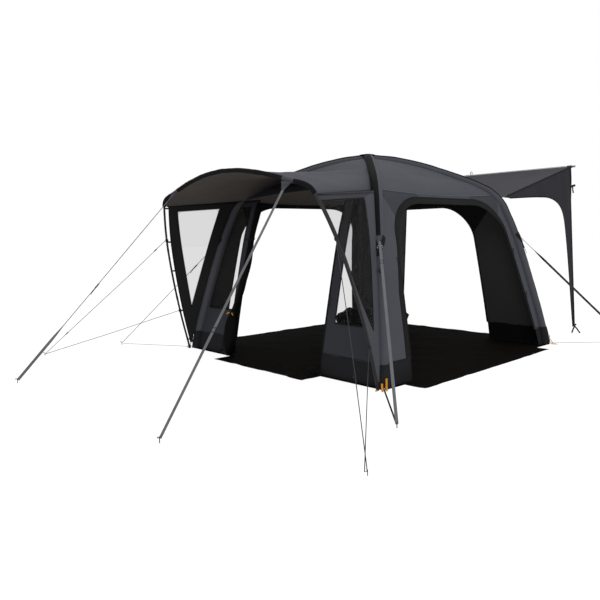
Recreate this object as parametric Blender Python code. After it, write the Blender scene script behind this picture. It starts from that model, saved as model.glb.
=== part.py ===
"""Inflatable drive-away awning for a campervan, with a poled front canopy and a van tunnel.

Metres, +Z up. The origin is on the ground at the centre of the square cabin.
The canopy faces -Y and the tunnel to the van faces +Y.
"""
import math

import bmesh
import bpy
import numpy as np
from mathutils import Matrix, Vector

# Clearances and sheet thicknesses
GAP = 0.0003
CLOTH = 0.004
SEAM = 0.0035
RIM_GAP = 0.0008

# Cabin: a square tent whose four air beams run from the corners to a crossing at the top.
# Each beam point is (distance from the middle measured along X or along Y, height).
GROUND_HALF = 1.50
BEAM_PROFILE = (
    (1.455, 0.00), (1.434, 0.17), (1.366, 0.52), (1.262, 1.00), (1.190, 1.30),
    (1.128, 1.50), (1.055, 1.70), (0.905, 1.838), (0.745, 1.925), (0.582, 2.010),
    (0.400, 2.090), (0.218, 2.148), (0.090, 2.172), (0.000, 2.180),
)
SLEEVE_R = 0.050
SLEEVE_WALL = 0.0022
LEAN_STRETCH = 1.08
BEAM_SIDES = 12
BEAM_STEPS = 14
HUB_CLEAR = 0.0530
EAVE_Z = 1.735
EAVE_MID_Z = 1.700
FRONT_EAVE_MID_Z = 1.785
FACET_TOP_HALF = 0.12
HUB_CAP_R = 0.085
HUB_CAP_THICK = 0.004
HUB_CAP_DROP = 0.0032

# Floor and black lower wall
SHEET_T = 0.003
# Each flap: (left end, how far out there, right end, how far out there), seen from outside.
FLAPS = {
    "front": (-0.713, 0.215, 0.727, 0.235), "right": (-1.217, 0.216, 1.181, 0.150),
    "back": (-0.735, 0.200, 0.735, 0.200), "left": (-1.181, 0.150, 1.217, 0.216),
}
MUD_H = 0.210
MUD_ROUND = 0.0570

# Doorways
DOOR_HALF = 0.68
FRONT_PANEL_TOP = 1.715
SIDE_DOOR_FRONT = 1.055
SIDE_DOOR_FRONT_TAPER = 0.080
SIDE_DOOR_BACK = 1.315
SIDE_DOOR_BACK_TAPER = 0.225
SIDE_ARCH_SPRING = 1.27
SIDE_ARCH_TOP = 1.672
SIDE_ARCH_FLAT = 0.48
BACK_DOOR_HALF = 0.735
BACK_DOOR_TAPER = 0.053
BACK_ARCH_SPRING = 1.22
BACK_ARCH_TOP = 1.645
BACK_ARCH_FLAT = 0.26
ARCH_STEPS = 6

# Front windows
WINDOW_IN = 0.82
WINDOW_LEG = 0.098
WINDOW_LOW = 0.46
WINDOW_HIGH = 1.645
PANE = 0.002
PANE_GAP = 0.0006

# Hoop pole of the canopy: (half width, height), leaning outward from its feet
HOOP_FOOT_X = 1.470
HOOP_FOOT_Y = -1.545
HOOP_LEAN = 0.262
HOOP_SHOULDER = 1.146
SHOULDER_BEFORE = 0.050
SHOULDER_AFTER = 0.080
HOOP_PROFILE = (
    (1.470, 0.018), (1.462, 0.42), (1.425, 0.80), (1.364, 1.15), (1.293, 1.40),
    (HOOP_SHOULDER + SHOULDER_BEFORE, 1.64), (HOOP_SHOULDER, 1.712),
    (HOOP_SHOULDER - SHOULDER_AFTER, 1.748), (0.910, 1.787), (0.740, 1.832),
    (0.550, 1.875), (0.280, 1.918), (0.000, 1.935),
)
POLE_R = 0.0115
HOOP_SLEEVE_R = 0.021
HOOP_SLEEVE_FROM = 1.66
HOOP_STEPS = 44
HOOP_SIDES = 10
BALL_R = 0.0155
BALL_Z = 0.0165
CLIP_HEIGHTS = {"right": (1.290, 0.400), "left": (1.290, 0.470)}
CLIP_R = 0.017
CLIP_LONG = 0.026

# Canopy cloth
CANOPY_CREASE_HALF = 0.640
CANOPY_LIFT = 0.0080
CANOPY_SAG = 0.018
CANOPY_CLIMB = 0.52
CANOPY_BELOW_EAVE = 0.012
WING_LOW = 0.225
WING_BELOW_HOOP_SLEEVE = 0.030
WING_BELOW_EAVE = 0.060
WING_POLE_CLEAR_LOW = 0.030
WING_POLE_CLEAR_HIGH = 0.065
WING_POLE_BAND = 0.040
WING_BEAM_BAND = 0.100
WING_TOP_BAND = 0.045
WING_APEX_Z = 0.50
WING_SLIT = 0.020

# Tunnel to the van
TUNNEL_HALF = 1.300
TUNNEL_FRONT_HALF = 1.060
TUNNEL_TOP_Z = 2.115
TUNNEL_END_Y = 2.380
TUNNEL_BELOW_EAVE = 0.050
TUNNEL_FOOT_Z = 0.095
TUNNEL_POLE_R = 0.0110
TUNNEL_POLE_OVER = 0.045
# Lower edge of a tunnel curtain as (Y, height), from the cabin to its foot
CURTAIN_EDGE = (
    (1.260, 1.706), (1.440, 1.715), (1.630, 1.724), (1.800, 1.728), (1.960, 1.722), (2.095, 1.680),
    (2.190, 1.598), (2.243, 1.470), (2.272, 1.270), (2.296, 1.020), (2.318, 0.730), (2.340, 0.383),
    (2.362, 0.095),
)
BEHIND_BEAM_Z = 1.600
CURTAIN_FLARE = 0.090
TUNNEL_LEG_BACK = 0.024
CURTAIN_LEG_Z = 1.700
CURTAIN_LEG_TOP_Z = 1.850
RAIL_W = 0.014
RAIL_H = 0.030

# Straps, cords and pegs
STRAP_W = 0.020
STRAP_T = 0.0016
STORM_Z = 1.240
STORM_PEGS = {
    "front_left": (-2.300, -2.000), "front_right": (2.220, -2.220),
    "back_right": (2.140, 2.110), "back_left": (-2.180, 2.120),
}
STORM_PEG_Z = 0.030
STORM_BUCKLE_SHARES = {
    "front_left": 0.23, "front_right": 0.14, "back_right": 0.22, "back_left": 0.22,
}
GUY_BUCKLE_SHARES = {"right": 0.62, "left": 0.50}
BUCKLE_W = 0.034
BUCKLE_L = 0.040
BUCKLE_T = 0.009
SLOT_W = 0.0212
SLOT_T = 0.0030
TAB_X = 0.90
TAB_WIDE = 0.110
TAB_LONG = 0.105
GUY_PEGS = {"right": (1.325, -3.535), "left": (-1.137, -3.622)}
CORD_D = 0.004
PEG_R = 0.0032
PEG_TALL = 0.042

# Inflation valve
VALVE_Z = 0.985
VALVE_R = 0.016
VALVE_LONG = 0.012
CAP_R = 0.019
CAP_LONG = 0.014
CAP_GRIP = 0.93
CAP_BEVEL = 0.8

# Rolled and gathered doors
ROLL_TOP_R = 0.020
ROLL_SWELL = 0.034
ROLL_OUT = 0.012
ROLL_UNDER_HEAD = 0.030
HEAP_R = 0.085
HEAP_FROM_WALL = 0.030
HEAP_SIDE_Y = 0.860
HEAP_SIDE_STEP = 0.095
HEAP_BACK_STEP = 0.055
HEAP_SWELL = (0.45, 0.80, 1.0, 1.0, 0.90, 0.55)
FOLD_DEPTH = 0.09

SIDES = {"front": 0, "right": 1, "back": 2, "left": 3}
CORNERS = {"front_left": (-1, -1), "front_right": (1, -1), "back_right": (1, 1), "back_left": (-1, 1)}

for old in list(bpy.data.objects):
    bpy.data.objects.remove(old, do_unlink=True)


# Small tools
def smooth_path(points, steps):
    """Points at equal steps along a Catmull-Rom curve through the given points."""
    pts = [np.array(p, float) for p in points]
    pts = [2 * pts[0] - pts[1]] + pts + [2 * pts[-1] - pts[-2]]
    fine = []
    for a, b, c, d in zip(pts, pts[1:], pts[2:], pts[3:]):
        for i in range(12):
            t = i / 12
            fine.append(0.5 * (2 * b + (c - a) * t + (2 * a - 5 * b + 4 * c - d) * t * t
                               + (3 * b - a - 3 * c + d) * t ** 3))
    fine.append(pts[-2])
    fine = np.array(fine)
    run = np.concatenate(([0], np.cumsum(np.linalg.norm(np.diff(fine, axis=0), axis=1))))
    at = np.linspace(0, run[-1], steps + 1)
    return np.column_stack([np.interp(at, run, fine[:, k]) for k in range(fine.shape[1])])


BEAM_LINE = smooth_path(BEAM_PROFILE, 160)


def half_at(z):
    """Half width of the cabin at a height on its walls."""
    return float(np.interp(z, BEAM_LINE[:, 1], BEAM_LINE[:, 0]))


def height_at(half):
    """Height of the roof where the cabin has a given half width."""
    return float(np.interp(half, BEAM_LINE[::-1, 0], BEAM_LINE[::-1, 1]))


def turned(point, side):
    """A point of the front wall, turned to another side."""
    return Matrix.Rotation(SIDES[side] * math.pi / 2, 3, "Z") @ Vector(point)


def material(name, colour, rough, metal=0.0):
    found = bpy.data.materials.get(name)
    if found:
        return found
    made = bpy.data.materials.new(name)
    made.use_nodes = True
    shader = made.node_tree.nodes["Principled BSDF"]
    shader.inputs["Base Color"].default_value = (*colour, 1.0)
    shader.inputs["Roughness"].default_value = rough
    shader.inputs["Metallic"].default_value = metal
    made.diffuse_color = (*colour, 1.0)
    return made


SLATE = ("slate cloth", (0.130, 0.140, 0.165), 0.80)
INNER = ("shaded cloth", (0.085, 0.090, 0.100), 0.85)
BLACK = ("black cloth", (0.018, 0.018, 0.020), 0.85)
CLEAR = ("window film", (0.62, 0.63, 0.64), 0.25)
TPU = ("air tube", (0.60, 0.60, 0.58), 0.40)
STEEL = ("black steel", (0.030, 0.030, 0.032), 0.40, 0.80)
BRIGHT = ("bright steel", (0.42, 0.43, 0.44), 0.35, 0.90)
PLASTIC = ("black plastic", (0.022, 0.022, 0.024), 0.45)
WEBBING = ("grey webbing", (0.230, 0.235, 0.245), 0.75)
ORANGE = ("orange plastic", (0.700, 0.330, 0.030), 0.50)
CORD = ("guy cord", (0.160, 0.160, 0.170), 0.80)


def add(name, mesh_maker, look, parent=None):
    """A named object from a bmesh, with its own finish."""
    mesh = bpy.data.meshes.new(name)
    mesh_maker.to_mesh(mesh)
    mesh_maker.free()
    obj = bpy.data.objects.new(name, mesh)
    bpy.context.scene.collection.objects.link(obj)
    obj.data.materials.append(material(*look))
    if parent is not None:
        obj.parent = parent
        obj.matrix_parent_inverse = parent.matrix_world.inverted()
    return obj


def pivot(name, place):
    empty = bpy.data.objects.new(name, None)
    empty.location = place
    bpy.context.scene.collection.objects.link(empty)
    bpy.context.view_layer.update()
    return empty


def round_off(obj, degrees=40):
    obj.data.shade_smooth()
    obj.data.set_sharp_from_angle(angle=math.radians(degrees))


def skin(bm, rings, close_ring=True):
    """Faces between rings of points that follow one another; gives back the rings' vertices."""
    loops = [[bm.verts.new(p) for p in ring] for ring in rings]
    for low, high in zip(loops, loops[1:]):
        count = len(low)
        for i in range(count if close_ring else count - 1):
            j = (i + 1) % count
            bm.faces.new((low[i], low[j], high[j], high[i]))
    return loops


def outward(bm):
    bmesh.ops.recalc_face_normals(bm, faces=bm.faces[:])


def add_rod(bm, rings):
    """A solid whose cross-sections are the given rings."""
    loops = skin(bm, rings)
    bm.faces.new(loops[0][::-1])
    bm.faces.new(loops[-1])


def add_pipe(bm, outer, inner):
    """A tube wall between outer and inner rings, open at both ends."""
    out = skin(bm, outer)
    ins = skin(bm, [ring[::-1] for ring in inner])
    for a, b in ((out[0], ins[0]), (out[-1], ins[-1])):
        count = len(a)
        for i in range(count):
            j = (i + 1) % count
            bm.faces.new((a[j], a[i], b[count - 1 - i], b[(count - 1 - j) % count]))


def rings_along(path, radius, sides, flat_start=None):
    """Rings square to a path of 3D points; flat_start cuts the first one level."""
    path = [Vector(p) for p in path]
    rings = []
    across = None
    for i, here in enumerate(path):
        ahead = path[min(i + 1, len(path) - 1)] - path[max(i - 1, 0)]
        ahead.normalize()
        if across is None:
            across = ahead.cross(Vector((0, 0, 1)))
            if across.length < 1e-4:
                across = Vector((1, 0, 0))
        across = (across - ahead * across.dot(ahead)).normalized()
        up = across.cross(ahead)
        ring = []
        for k in range(sides):
            turn = 2 * math.pi * k / sides
            point = here + radius * (math.cos(turn) * across + math.sin(turn) * up)
            if i == 0 and flat_start is not None:
                point = point + ahead * ((flat_start - point.z) / ahead.z)
            ring.append(point)
        rings.append(ring)
    return rings


def sheet(name, grids, look, thick=CLOTH, parent=None, closed=False):
    """Cloth of even thickness over grids of points; closed grids wrap round their first index."""
    bm = bmesh.new()
    for grid in grids:
        rows = [[bm.verts.new(p) for p in row] for row in grid]
        count = len(rows)
        for i in range(count if closed else count - 1):
            low, high = rows[i], rows[(i + 1) % count]
            for j in range(len(low) - 1):
                bm.faces.new((low[j], low[j + 1], high[j + 1], high[j]))
    outward(bm)
    obj = add(name, bm, look, parent)
    solid = obj.modifiers.new("thickness", "SOLIDIFY")
    solid.thickness = thick
    solid.offset = 0.0
    solid.use_even_offset = True
    return obj


def between(outer, inner, rows):
    """Grid rows that run from an outer line to an inner line with as many points."""
    grid = []
    for a, b in zip(outer, inner):
        a, b = np.array(a), np.array(b)
        grid.append([tuple(a + (b - a) * k / rows) for k in range(rows + 1)])
    return grid


def strip(bm, start, end, width_dir, width, thick):
    """A flat strap between two points, as one box."""
    start, end = Vector(start), Vector(end)
    along = (end - start).normalized()
    wide = Vector(width_dir)
    wide = (wide - along * wide.dot(along)).normalized() * width / 2
    face = along.cross(wide).normalized() * thick / 2
    section = (wide + face, face - wide, -wide - face, wide - face)
    add_rod(bm, [[p + corner for corner in section] for p in (start, end)])


# The edge of a panel beside a beam: the beam's round side, seen square to the beam.
EDGE = (SLEEVE_R + GAP) * math.sqrt(2) + CLOTH / 2
ROOF_EDGE = (SLEEVE_R + GAP) * math.sqrt(2) + GAP
FLOOR_Z = SHEET_T + GAP


def beam_path(sx, sy):
    """Centre line of one beam, from its corner up to the roof's crossing."""
    spine = [(half_at(FLOOR_Z), FLOOR_Z)]
    for half, z in BEAM_LINE:
        if z > FLOOR_Z and half * math.sqrt(2) > HUB_CLEAR:
            spine.append((half, z))
    last = HUB_CLEAR / math.sqrt(2)
    spine.append((last, height_at(last)))
    even = smooth_path(spine, BEAM_STEPS)
    return [(sx * half, sy * half, z) for half, z in even] + [(0, 0, BEAM_PROFILE[-1][1])]


def outside_of_beam(sx, sy, z):
    """A place on the corner side of a beam's sleeve, and the way out from it, square to the beam."""
    below, above = (Vector((sx * half_at(h), sy * half_at(h), h)) for h in (z - SLEEVE_R, z + SLEEVE_R))
    rise = (above - below).normalized()
    out = Vector((sx, sy, 0)).normalized()
    out = (out - rise * out.dot(rise)).normalized()
    return (below + above) / 2 + out * (SLEEVE_R + GAP), out


# Air frame and sleeves
def long_beam(corner):
    """One air beam over the whole cabin, cut level at both feet."""
    sx, sy = CORNERS[corner]
    near = beam_path(sx, sy)
    far = [(-x, -y, z) for x, y, z in near[-2::-1]]
    path = near + far
    rings = rings_along(path, SLEEVE_R - SLEEVE_WALL - GAP, BEAM_SIDES, FLOOR_Z)
    tip = Vector(path[-1]) - Vector(path[-2])
    rings[-1] = [p + tip * ((FLOOR_Z - p.z) / tip.z) for p in rings[-1]]
    bm = bmesh.new()
    add_rod(bm, rings)
    outward(bm)
    return bm


def make_air_frame():
    frame = add("air_frame", long_beam("front_left"), TPU)
    other = add("air_frame_crossing", long_beam("front_right"), TPU)
    other.hide_render = True
    other.display_type = "WIRE"
    join = frame.modifiers.new("crossing", "BOOLEAN")
    join.operation = "UNION"
    join.solver = "EXACT"
    join.object = other


def make_sleeves():
    for corner, (sx, sy) in CORNERS.items():
        path = beam_path(sx, sy)
        bm = bmesh.new()
        add_pipe(bm, rings_along(path, SLEEVE_R, BEAM_SIDES, FLOOR_Z)[:-1],
                 rings_along(path, SLEEVE_R - SLEEVE_WALL, BEAM_SIDES, FLOOR_Z)[:-1])
        outward(bm)
        round_off(add("beam_sleeve_" + corner, bm, SLATE))


def make_hub_cap():
    top = BEAM_PROFILE[-1][1] + SLEEVE_R - RIM_GAP
    bm = bmesh.new()
    rows = 4
    sides = 16
    under, over = [], []
    for i in range(1, rows + 1):
        r = HUB_CAP_R * i / rows
        z = top - HUB_CAP_DROP * (i / rows) ** 2
        turns = [2 * math.pi * k / sides for k in range(sides)]
        ring = [(r * math.cos(turn), r * math.sin(turn)) for turn in turns]
        under.append([(x, y, z) for x, y in ring])
        over.append([(x, y, z + HUB_CAP_THICK) for x, y in ring])
    add_rod(bm, under + over[::-1])
    outward(bm)
    round_off(add("roof_hub_cap", bm, BLACK))


# Roof and walls
def seam_z(s, side):
    mid = FRONT_EAVE_MID_Z if side == "front" else EAVE_MID_Z
    return EAVE_Z + (mid - EAVE_Z) * (1 - s * s)


def roof_point(s, half, side):
    return turned((s * (half - ROOF_EDGE), -half, height_at(half)), side)


def make_roof():
    across, up = 10, 7
    for side in SIDES:
        grid = []
        for i in range(across + 1):
            s = 2 * i / across - 1
            low = half_at(seam_z(s, side) + SEAM)
            rise = (FACET_TOP_HALF - low) / up
            grid.append([roof_point(s, low + rise * k, side) for k in range(up + 1)])
        sheet("roof_" + side, [grid], SLATE)


def wall_point(x, z, side, out=0.0):
    return turned((x, -half_at(z) - out, z), side)


def wall_grid(outline, side, out=0.0):
    return [[wall_point(x, z, side, out) for x, z in row] for row in outline]


def half_arch(flat, spring, top, door_half, count):
    """One half of a doorway from the bottom up to the middle of its head."""
    low = MUD_H + RIM_GAP
    jamb = [(door_half(low + (spring - low) * i / 3), low + (spring - low) * i / 3) for i in range(3)]
    wide = door_half(spring)
    bend = [(flat + (wide - flat) * math.cos(a), spring + (top - spring) * math.sin(a))
            for a in np.linspace(0, math.pi / 2, count)]
    return jamb + bend + [(0.0, top)]


def side_door_front(z):
    return SIDE_DOOR_FRONT - SIDE_DOOR_FRONT_TAPER * z


def side_door_back(z):
    return SIDE_DOOR_BACK - SIDE_DOOR_BACK_TAPER * z


def back_door_half(z):
    return BACK_DOOR_HALF - BACK_DOOR_TAPER * z


def front_door_half(z):
    return DOOR_HALF


# Left and right half width of each doorway at a height, seen from outside
DOORS = {
    "front": (front_door_half, front_door_half), "right": (side_door_front, side_door_back),
    "back": (back_door_half, back_door_half), "left": (side_door_back, side_door_front),
}


def make_arched_wall(side, flat, spring, top):
    """The cloth round a doorway, from the lower wall on one side over its head to the other."""
    low = MUD_H + RIM_GAP
    left, right = (half_arch(flat, spring, top, half, ARCH_STEPS) for half in DOORS[side])
    leg = [(half_at(z) - EDGE, z) for z in np.linspace(low, EAVE_Z, len(right) - 4)]
    head = [(s * (half_at(seam_z(s, side)) - EDGE), seam_z(s, side)) for s in (0.78, 0.52, 0.26, 0.0)]
    frame = leg + head
    outer = frame + [(-x, z) for x, z in frame[-2::-1]]
    inner = right + [(-x, z) for x, z in left[-2::-1]]
    sheet("wall_" + side, [wall_grid(between(outer, inner, 2), side)], SLATE)


def make_walls():
    make_arched_wall("right", SIDE_ARCH_FLAT, SIDE_ARCH_SPRING, SIDE_ARCH_TOP)
    make_arched_wall("left", SIDE_ARCH_FLAT, SIDE_ARCH_SPRING, SIDE_ARCH_TOP)
    make_arched_wall("back", BACK_ARCH_FLAT, BACK_ARCH_SPRING, BACK_ARCH_TOP)


def make_mud_walls():
    """A black band at each corner, from one doorway round the foot of the beam to the next."""
    names = list(DOORS)
    corners = ("front_right", "back_right", "back_left", "front_left")
    for i, corner in enumerate(corners):
        first, second = DOORS[names[i]][1], DOORS[names[(i + 1) % 4]][0]
        grid = []
        for z in np.linspace(SHEET_T + RIM_GAP, MUD_H, 3):
            half = half_at(z)
            straight = half - MUD_ROUND
            row = [(first(z) + (straight - first(z)) * k / 3, -half) for k in range(3)]
            for k in range(10):
                turn = math.pi + math.pi * k / 6
                row.append((half + MUD_ROUND * math.cos(turn), -half + MUD_ROUND * math.sin(turn)))
            row += [(half, -straight + (straight - second(z)) * k / 3) for k in (1, 2, 3)]
            grid.append([turned((x, y, z), names[i]) for x, y in row])
        sheet("mud_wall_" + corner, [grid], BLACK)


def window_outline(inset):
    """Corners of a front window, pulled in by inset, anticlockwise from low inside."""
    low, high = WINDOW_LOW + inset, WINDOW_HIGH - inset
    return [(WINDOW_IN + inset, low), (half_at(low) - WINDOW_LEG - inset, low),
            (half_at(high) - WINDOW_LEG - inset, high), (WINDOW_IN + inset, high)]


def ring_points(corners, counts, on_leg, leg_gap):
    """A closed outline cut into steps; its leg side follows the beam."""
    ring = []
    for i, (a, b) in enumerate(zip(corners, corners[1:] + corners[:1])):
        for k in range(counts[i]):
            t = k / counts[i]
            x, z = a[0] + (b[0] - a[0]) * t, a[1] + (b[1] - a[1]) * t
            if i == on_leg:
                x = half_at(z) - leg_gap
            ring.append((x, z))
    return ring


def make_front_panels():
    counts = (3, 7, 3, 7)
    low = MUD_H + RIM_GAP
    outer = [(DOOR_HALF, low), (half_at(low) - EDGE, low),
             (half_at(FRONT_PANEL_TOP) - EDGE, FRONT_PANEL_TOP), (DOOR_HALF, FRONT_PANEL_TOP)]
    out_ring = ring_points(outer, counts, 1, EDGE)
    in_ring = ring_points(window_outline(0.0), counts, 1, WINDOW_LEG)
    for hand, name in ((1, "right"), (-1, "left")):
        rows = [[(hand * x, z) for x, z in row] for row in between(out_ring, in_ring, 1)]
        sheet("front_panel_" + name, [wall_grid(rows, "front")], SLATE, closed=True)
        pane = []
        for z in np.linspace(WINDOW_LOW + PANE_GAP, WINDOW_HIGH - PANE_GAP, 8):
            a, b = WINDOW_IN + PANE_GAP, half_at(z) - WINDOW_LEG - PANE_GAP
            pane.append([wall_point(hand * (a + (b - a) * k / 2), z, "front") for k in range(3)])
        sheet("front_window_" + name, [pane], CLEAR, PANE)


def make_groundsheet():
    """Floor with one flap lying out at each doorway."""
    half = GROUND_HALF
    outline = []
    for side, (left, out_left, right, out_right) in FLAPS.items():
        outline.append(turned((-half, -half, 0.0), side))
        for x, out in ((left, 0.0), (left, out_left), (right, out_right), (right, 0.0)):
            outline.append(turned((x, -half - out, 0.0), side))
    bm = bmesh.new()
    face = bm.faces.new([bm.verts.new(p) for p in outline])
    grown = bmesh.ops.extrude_face_region(bm, geom=[face])
    top = [v for v in grown["geom"] if isinstance(v, bmesh.types.BMVert)]
    bmesh.ops.translate(bm, verts=top, vec=(0, 0, SHEET_T))
    outward(bm)
    add("groundsheet", bm, BLACK)


# Rolled doors
def make_bundle(name, path, radii, folds, look=BLACK):
    """A door rolled or gathered along a path, with soft lengthwise folds, set down on the floor."""
    bm = bmesh.new()
    sides = 14
    rings = []
    plain = rings_along(path, 1.0, sides)
    for here, ring, radius in zip(path, plain, radii):
        centre = Vector(here)
        shrink = [radius * (1 - FOLD_DEPTH * (1 + math.cos(folds * 2 * math.pi * k / sides)))
                  for k in range(sides)]
        rings.append([centre + (p - centre) * r for p, r in zip(ring, shrink)])
    drop = Vector((0, 0, FLOOR_Z - min(p.z for ring in rings for p in ring)))
    add_rod(bm, [[p + drop for p in ring] for ring in rings])
    outward(bm)
    round_off(add(name, bm, look), 60)


def make_door_rolls():
    top, low = FRONT_PANEL_TOP - ROLL_UNDER_HEAD, FLOOR_Z + ROLL_OUT
    steps = 9
    heights = [top + (low - top) * i / steps for i in range(steps + 1)]
    radii = [ROLL_TOP_R + ROLL_SWELL * ((top - z) / (top - low)) ** 1.6 for z in heights]
    edge = DOOR_HALF - CLOTH
    path = [(-(edge - r), -half_at(z) - ROLL_OUT, z) for z, r in zip(heights, radii)]
    make_bundle("door_roll_front", path, radii, 5)

    heap_z = FLOOR_Z + HEAP_R
    radii = [HEAP_R * k for k in HEAP_SWELL]
    inner = half_at(heap_z) - CLOTH - HEAP_R - HEAP_FROM_WALL
    path = [(-inner, HEAP_SIDE_Y + HEAP_SIDE_STEP * i, heap_z) for i in range(len(radii))]
    make_bundle("door_roll_left", path, radii, 5)
    start = -BACK_DOOR_HALF - HEAP_FROM_WALL
    path = [(start - HEAP_BACK_STEP * i, inner, heap_z) for i in range(len(radii) - 1)]
    make_bundle("door_roll_back", path, radii[:-1], 4)


# Canopy hoop
def hoop_point(half, z):
    return Vector((half, HOOP_FOOT_Y - HOOP_LEAN * (z - HOOP_PROFILE[0][1]), z))


HOOP_HALF = smooth_path(HOOP_PROFILE, 60)


def hoop_half_at(z):
    """Half width of the hoop's legs at a height below the shoulder."""
    legs = HOOP_HALF[HOOP_HALF[:, 0] > HOOP_SHOULDER]
    return float(np.interp(z, legs[:, 1], legs[:, 0]))


def hoop_path(start_z, steps):
    """Points over the hoop from the left leg to the right leg, starting at a height."""
    right = [(hoop_half_at(start_z), start_z)] + [(h, z) for h, z in HOOP_HALF if z > start_z]
    whole = [(-h, z) for h, z in right] + [(h, z) for h, z in right[-2::-1]]
    return [hoop_point(h, z) for h, z in smooth_path(whole, steps)]


def foot_rings(path, sides):
    """Rings of a ball tip at the start of a path, up to where the pole takes over."""
    start = Vector(path[0])
    along = (Vector(path[1]) - start).normalized()
    neck = math.sqrt(BALL_R ** 2 - POLE_R ** 2)
    spots = [-BALL_R * 0.97, -BALL_R * 0.75, -BALL_R * 0.35, 0.0, neck * 0.6, neck]
    centres = [start + along * s for s in spots]
    rings = rings_along(centres, 1.0, sides)
    sized = []
    for centre, ring, s in zip(centres, rings, spots):
        radius = math.sqrt(BALL_R ** 2 - s * s)
        sized.append([centre + (p - centre) * radius for p in ring])
    return sized


def pole_stations():
    """The pole's own points over the hoop; its sleeve and clips follow the same straight steps."""
    return hoop_path(BALL_Z, HOOP_STEPS)


def around_pole(sides):
    """Radius of a faceted hole that clears the faceted pole however the two are turned."""
    return (POLE_R + GAP) / math.cos(math.pi / sides)


def make_hoop(hinge):
    path = pole_stations()
    plain = rings_along(path, POLE_R, HOOP_SIDES)
    left = foot_rings(path, HOOP_SIDES)
    right = foot_rings(path[::-1], HOOP_SIDES)[::-1]
    rings = left + plain[1:-1]
    for ring in right:
        rings.append(matched(rings[-1], ring))
    bm = bmesh.new()
    add_rod(bm, rings)
    outward(bm)
    round_off(add("hoop_pole", bm, STEEL, hinge))

    for hand, name in ((1, "right"), (-1, "left")):
        for z, level in zip(CLIP_HEIGHTS[name], ("upper", "lower")):
            ends = clip_ends(hand, z)
            bm = bmesh.new()
            add_pipe(bm, rings_along(ends, CLIP_R, HOOP_SIDES),
                     rings_along(ends, around_pole(HOOP_SIDES), HOOP_SIDES))
            outward(bm)
            round_off(add("cord_clip_%s_%s" % (name, level), bm, PLASTIC, hinge))


def clip_ends(hand, z):
    """Ends of a clip at a height on one leg, kept within one straight step of the pole."""
    for a, b in zip(pole_stations(), pole_stations()[1:]):
        if (a.x + b.x) * hand > 0 and min(a.z, b.z) <= z < max(a.z, b.z):
            along = (b - a).normalized()
            room = CLIP_LONG / 2 + POLE_R
            at = min(max((z - a.z) / along.z, room), (b - a).length - room)
            middle = a + along * at
            return [middle - along * CLIP_LONG / 2, middle + along * CLIP_LONG / 2]
    raise ValueError("a clip lies off the hoop's legs")


def matched(guide, ring):
    """The same ring, started at the point nearest the guide's first point and running its way."""
    count = len(ring)
    first = min(range(count), key=lambda k: (ring[k] - guide[0]).length)
    ahead = [ring[(first + k) % count] for k in range(count)]
    back = [ring[(first - k) % count] for k in range(count)]
    return min((ahead, back), key=lambda r: (r[1] - guide[1]).length)


def make_hoop_sleeve(hinge):
    """Cloth tube that holds the pole over the canopy, with a tab for each guy strap."""
    path = pole_stations()
    covered = [i for i, p in enumerate(path) if p.z > HOOP_SLEEVE_FROM]
    kept = slice(covered[0], covered[-1] + 1)
    bm = bmesh.new()
    add_pipe(bm, rings_along(path, HOOP_SLEEVE_R, HOOP_SIDES)[kept],
             rings_along(path, around_pole(HOOP_SIDES), HOOP_SIDES)[kept])
    outward(bm)
    sleeve = add("hoop_sleeve", bm, BLACK, hinge)
    round_off(sleeve)
    for hand, name in ((1, "right"), (-1, "left")):
        top, _, rim, along = guy_line(hand)
        level = Vector((along.y, -along.x, 0)).normalized()
        ahead = min(path, key=lambda p: (p - rim).length)
        beside = min((p for p in path if p != ahead), key=lambda p: (p - rim).length)
        pole_way = (ahead - beside).normalized()
        pole_way *= math.copysign(1, pole_way.dot(level))
        root = rim + along * (HOOP_SLEEVE_R - CLOTH)
        rings = []
        for p, way, wide in ((root, pole_way, TAB_WIDE), (top - along * GAP, level, STRAP_W)):
            w = way * wide / 2
            face = along.cross(way).normalized() * CLOTH / 2
            rings.append([p + w + face, p - w + face, p - w - face, p + w - face])
        tab = bmesh.new()
        add_rod(tab, rings)
        outward(tab)
        piece = add("tab_" + name, tab, BLACK, hinge)
        piece.hide_render = True
        piece.display_type = "WIRE"
        join = sleeve.modifiers.new("tab " + name, "BOOLEAN")
        join.operation = "UNION"
        join.solver = "EXACT"
        join.object = piece


# Canopy cloth
def hip_edge(half, lift):
    """Where canopy cloth meets a front beam: on the cloth side of the sleeve, just over the roof."""
    return Vector((half - ROOF_EDGE, -half, height_at(half) + lift))


def canopy_back(s):
    """Back edge of the canopy: up one front beam, across the roof, down the other."""
    eave_half = half_at(EAVE_Z - CANOPY_BELOW_EAVE)
    flat = 1 - CANOPY_CLIMB
    reach = abs(s)
    if reach >= flat:
        half = CANOPY_CREASE_HALF + (eave_half - CANOPY_CREASE_HALF) * (reach - flat) / CANOPY_CLIMB
        edge = hip_edge(half, CANOPY_LIFT)
        across = edge.x
    else:
        edge = hip_edge(CANOPY_CREASE_HALF, CANOPY_LIFT)
        across = edge.x * reach / flat
    return Vector((math.copysign(across, s), edge.y, edge.z))


def make_canopy():
    deep = 5
    front = [p for p in pole_stations() if p.z > HOOP_SLEEVE_FROM]
    across = len(front) - 1
    grid = []
    for i, rim in enumerate(front):
        s = 2 * i / across - 1
        back = canopy_back(s)
        toward = (back - rim).normalized()
        start = rim + toward * (HOOP_SLEEVE_R + GAP)
        row = []
        for k in range(deep + 1):
            t = k / deep
            sag = CANOPY_SAG * math.sin(math.pi * t) * (1 - s ** 4)
            row.append(start.lerp(back, t) - Vector((0, 0, sag)))
        grid.append(row)
    sheet("canopy_roof", [grid], SLATE)


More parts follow.
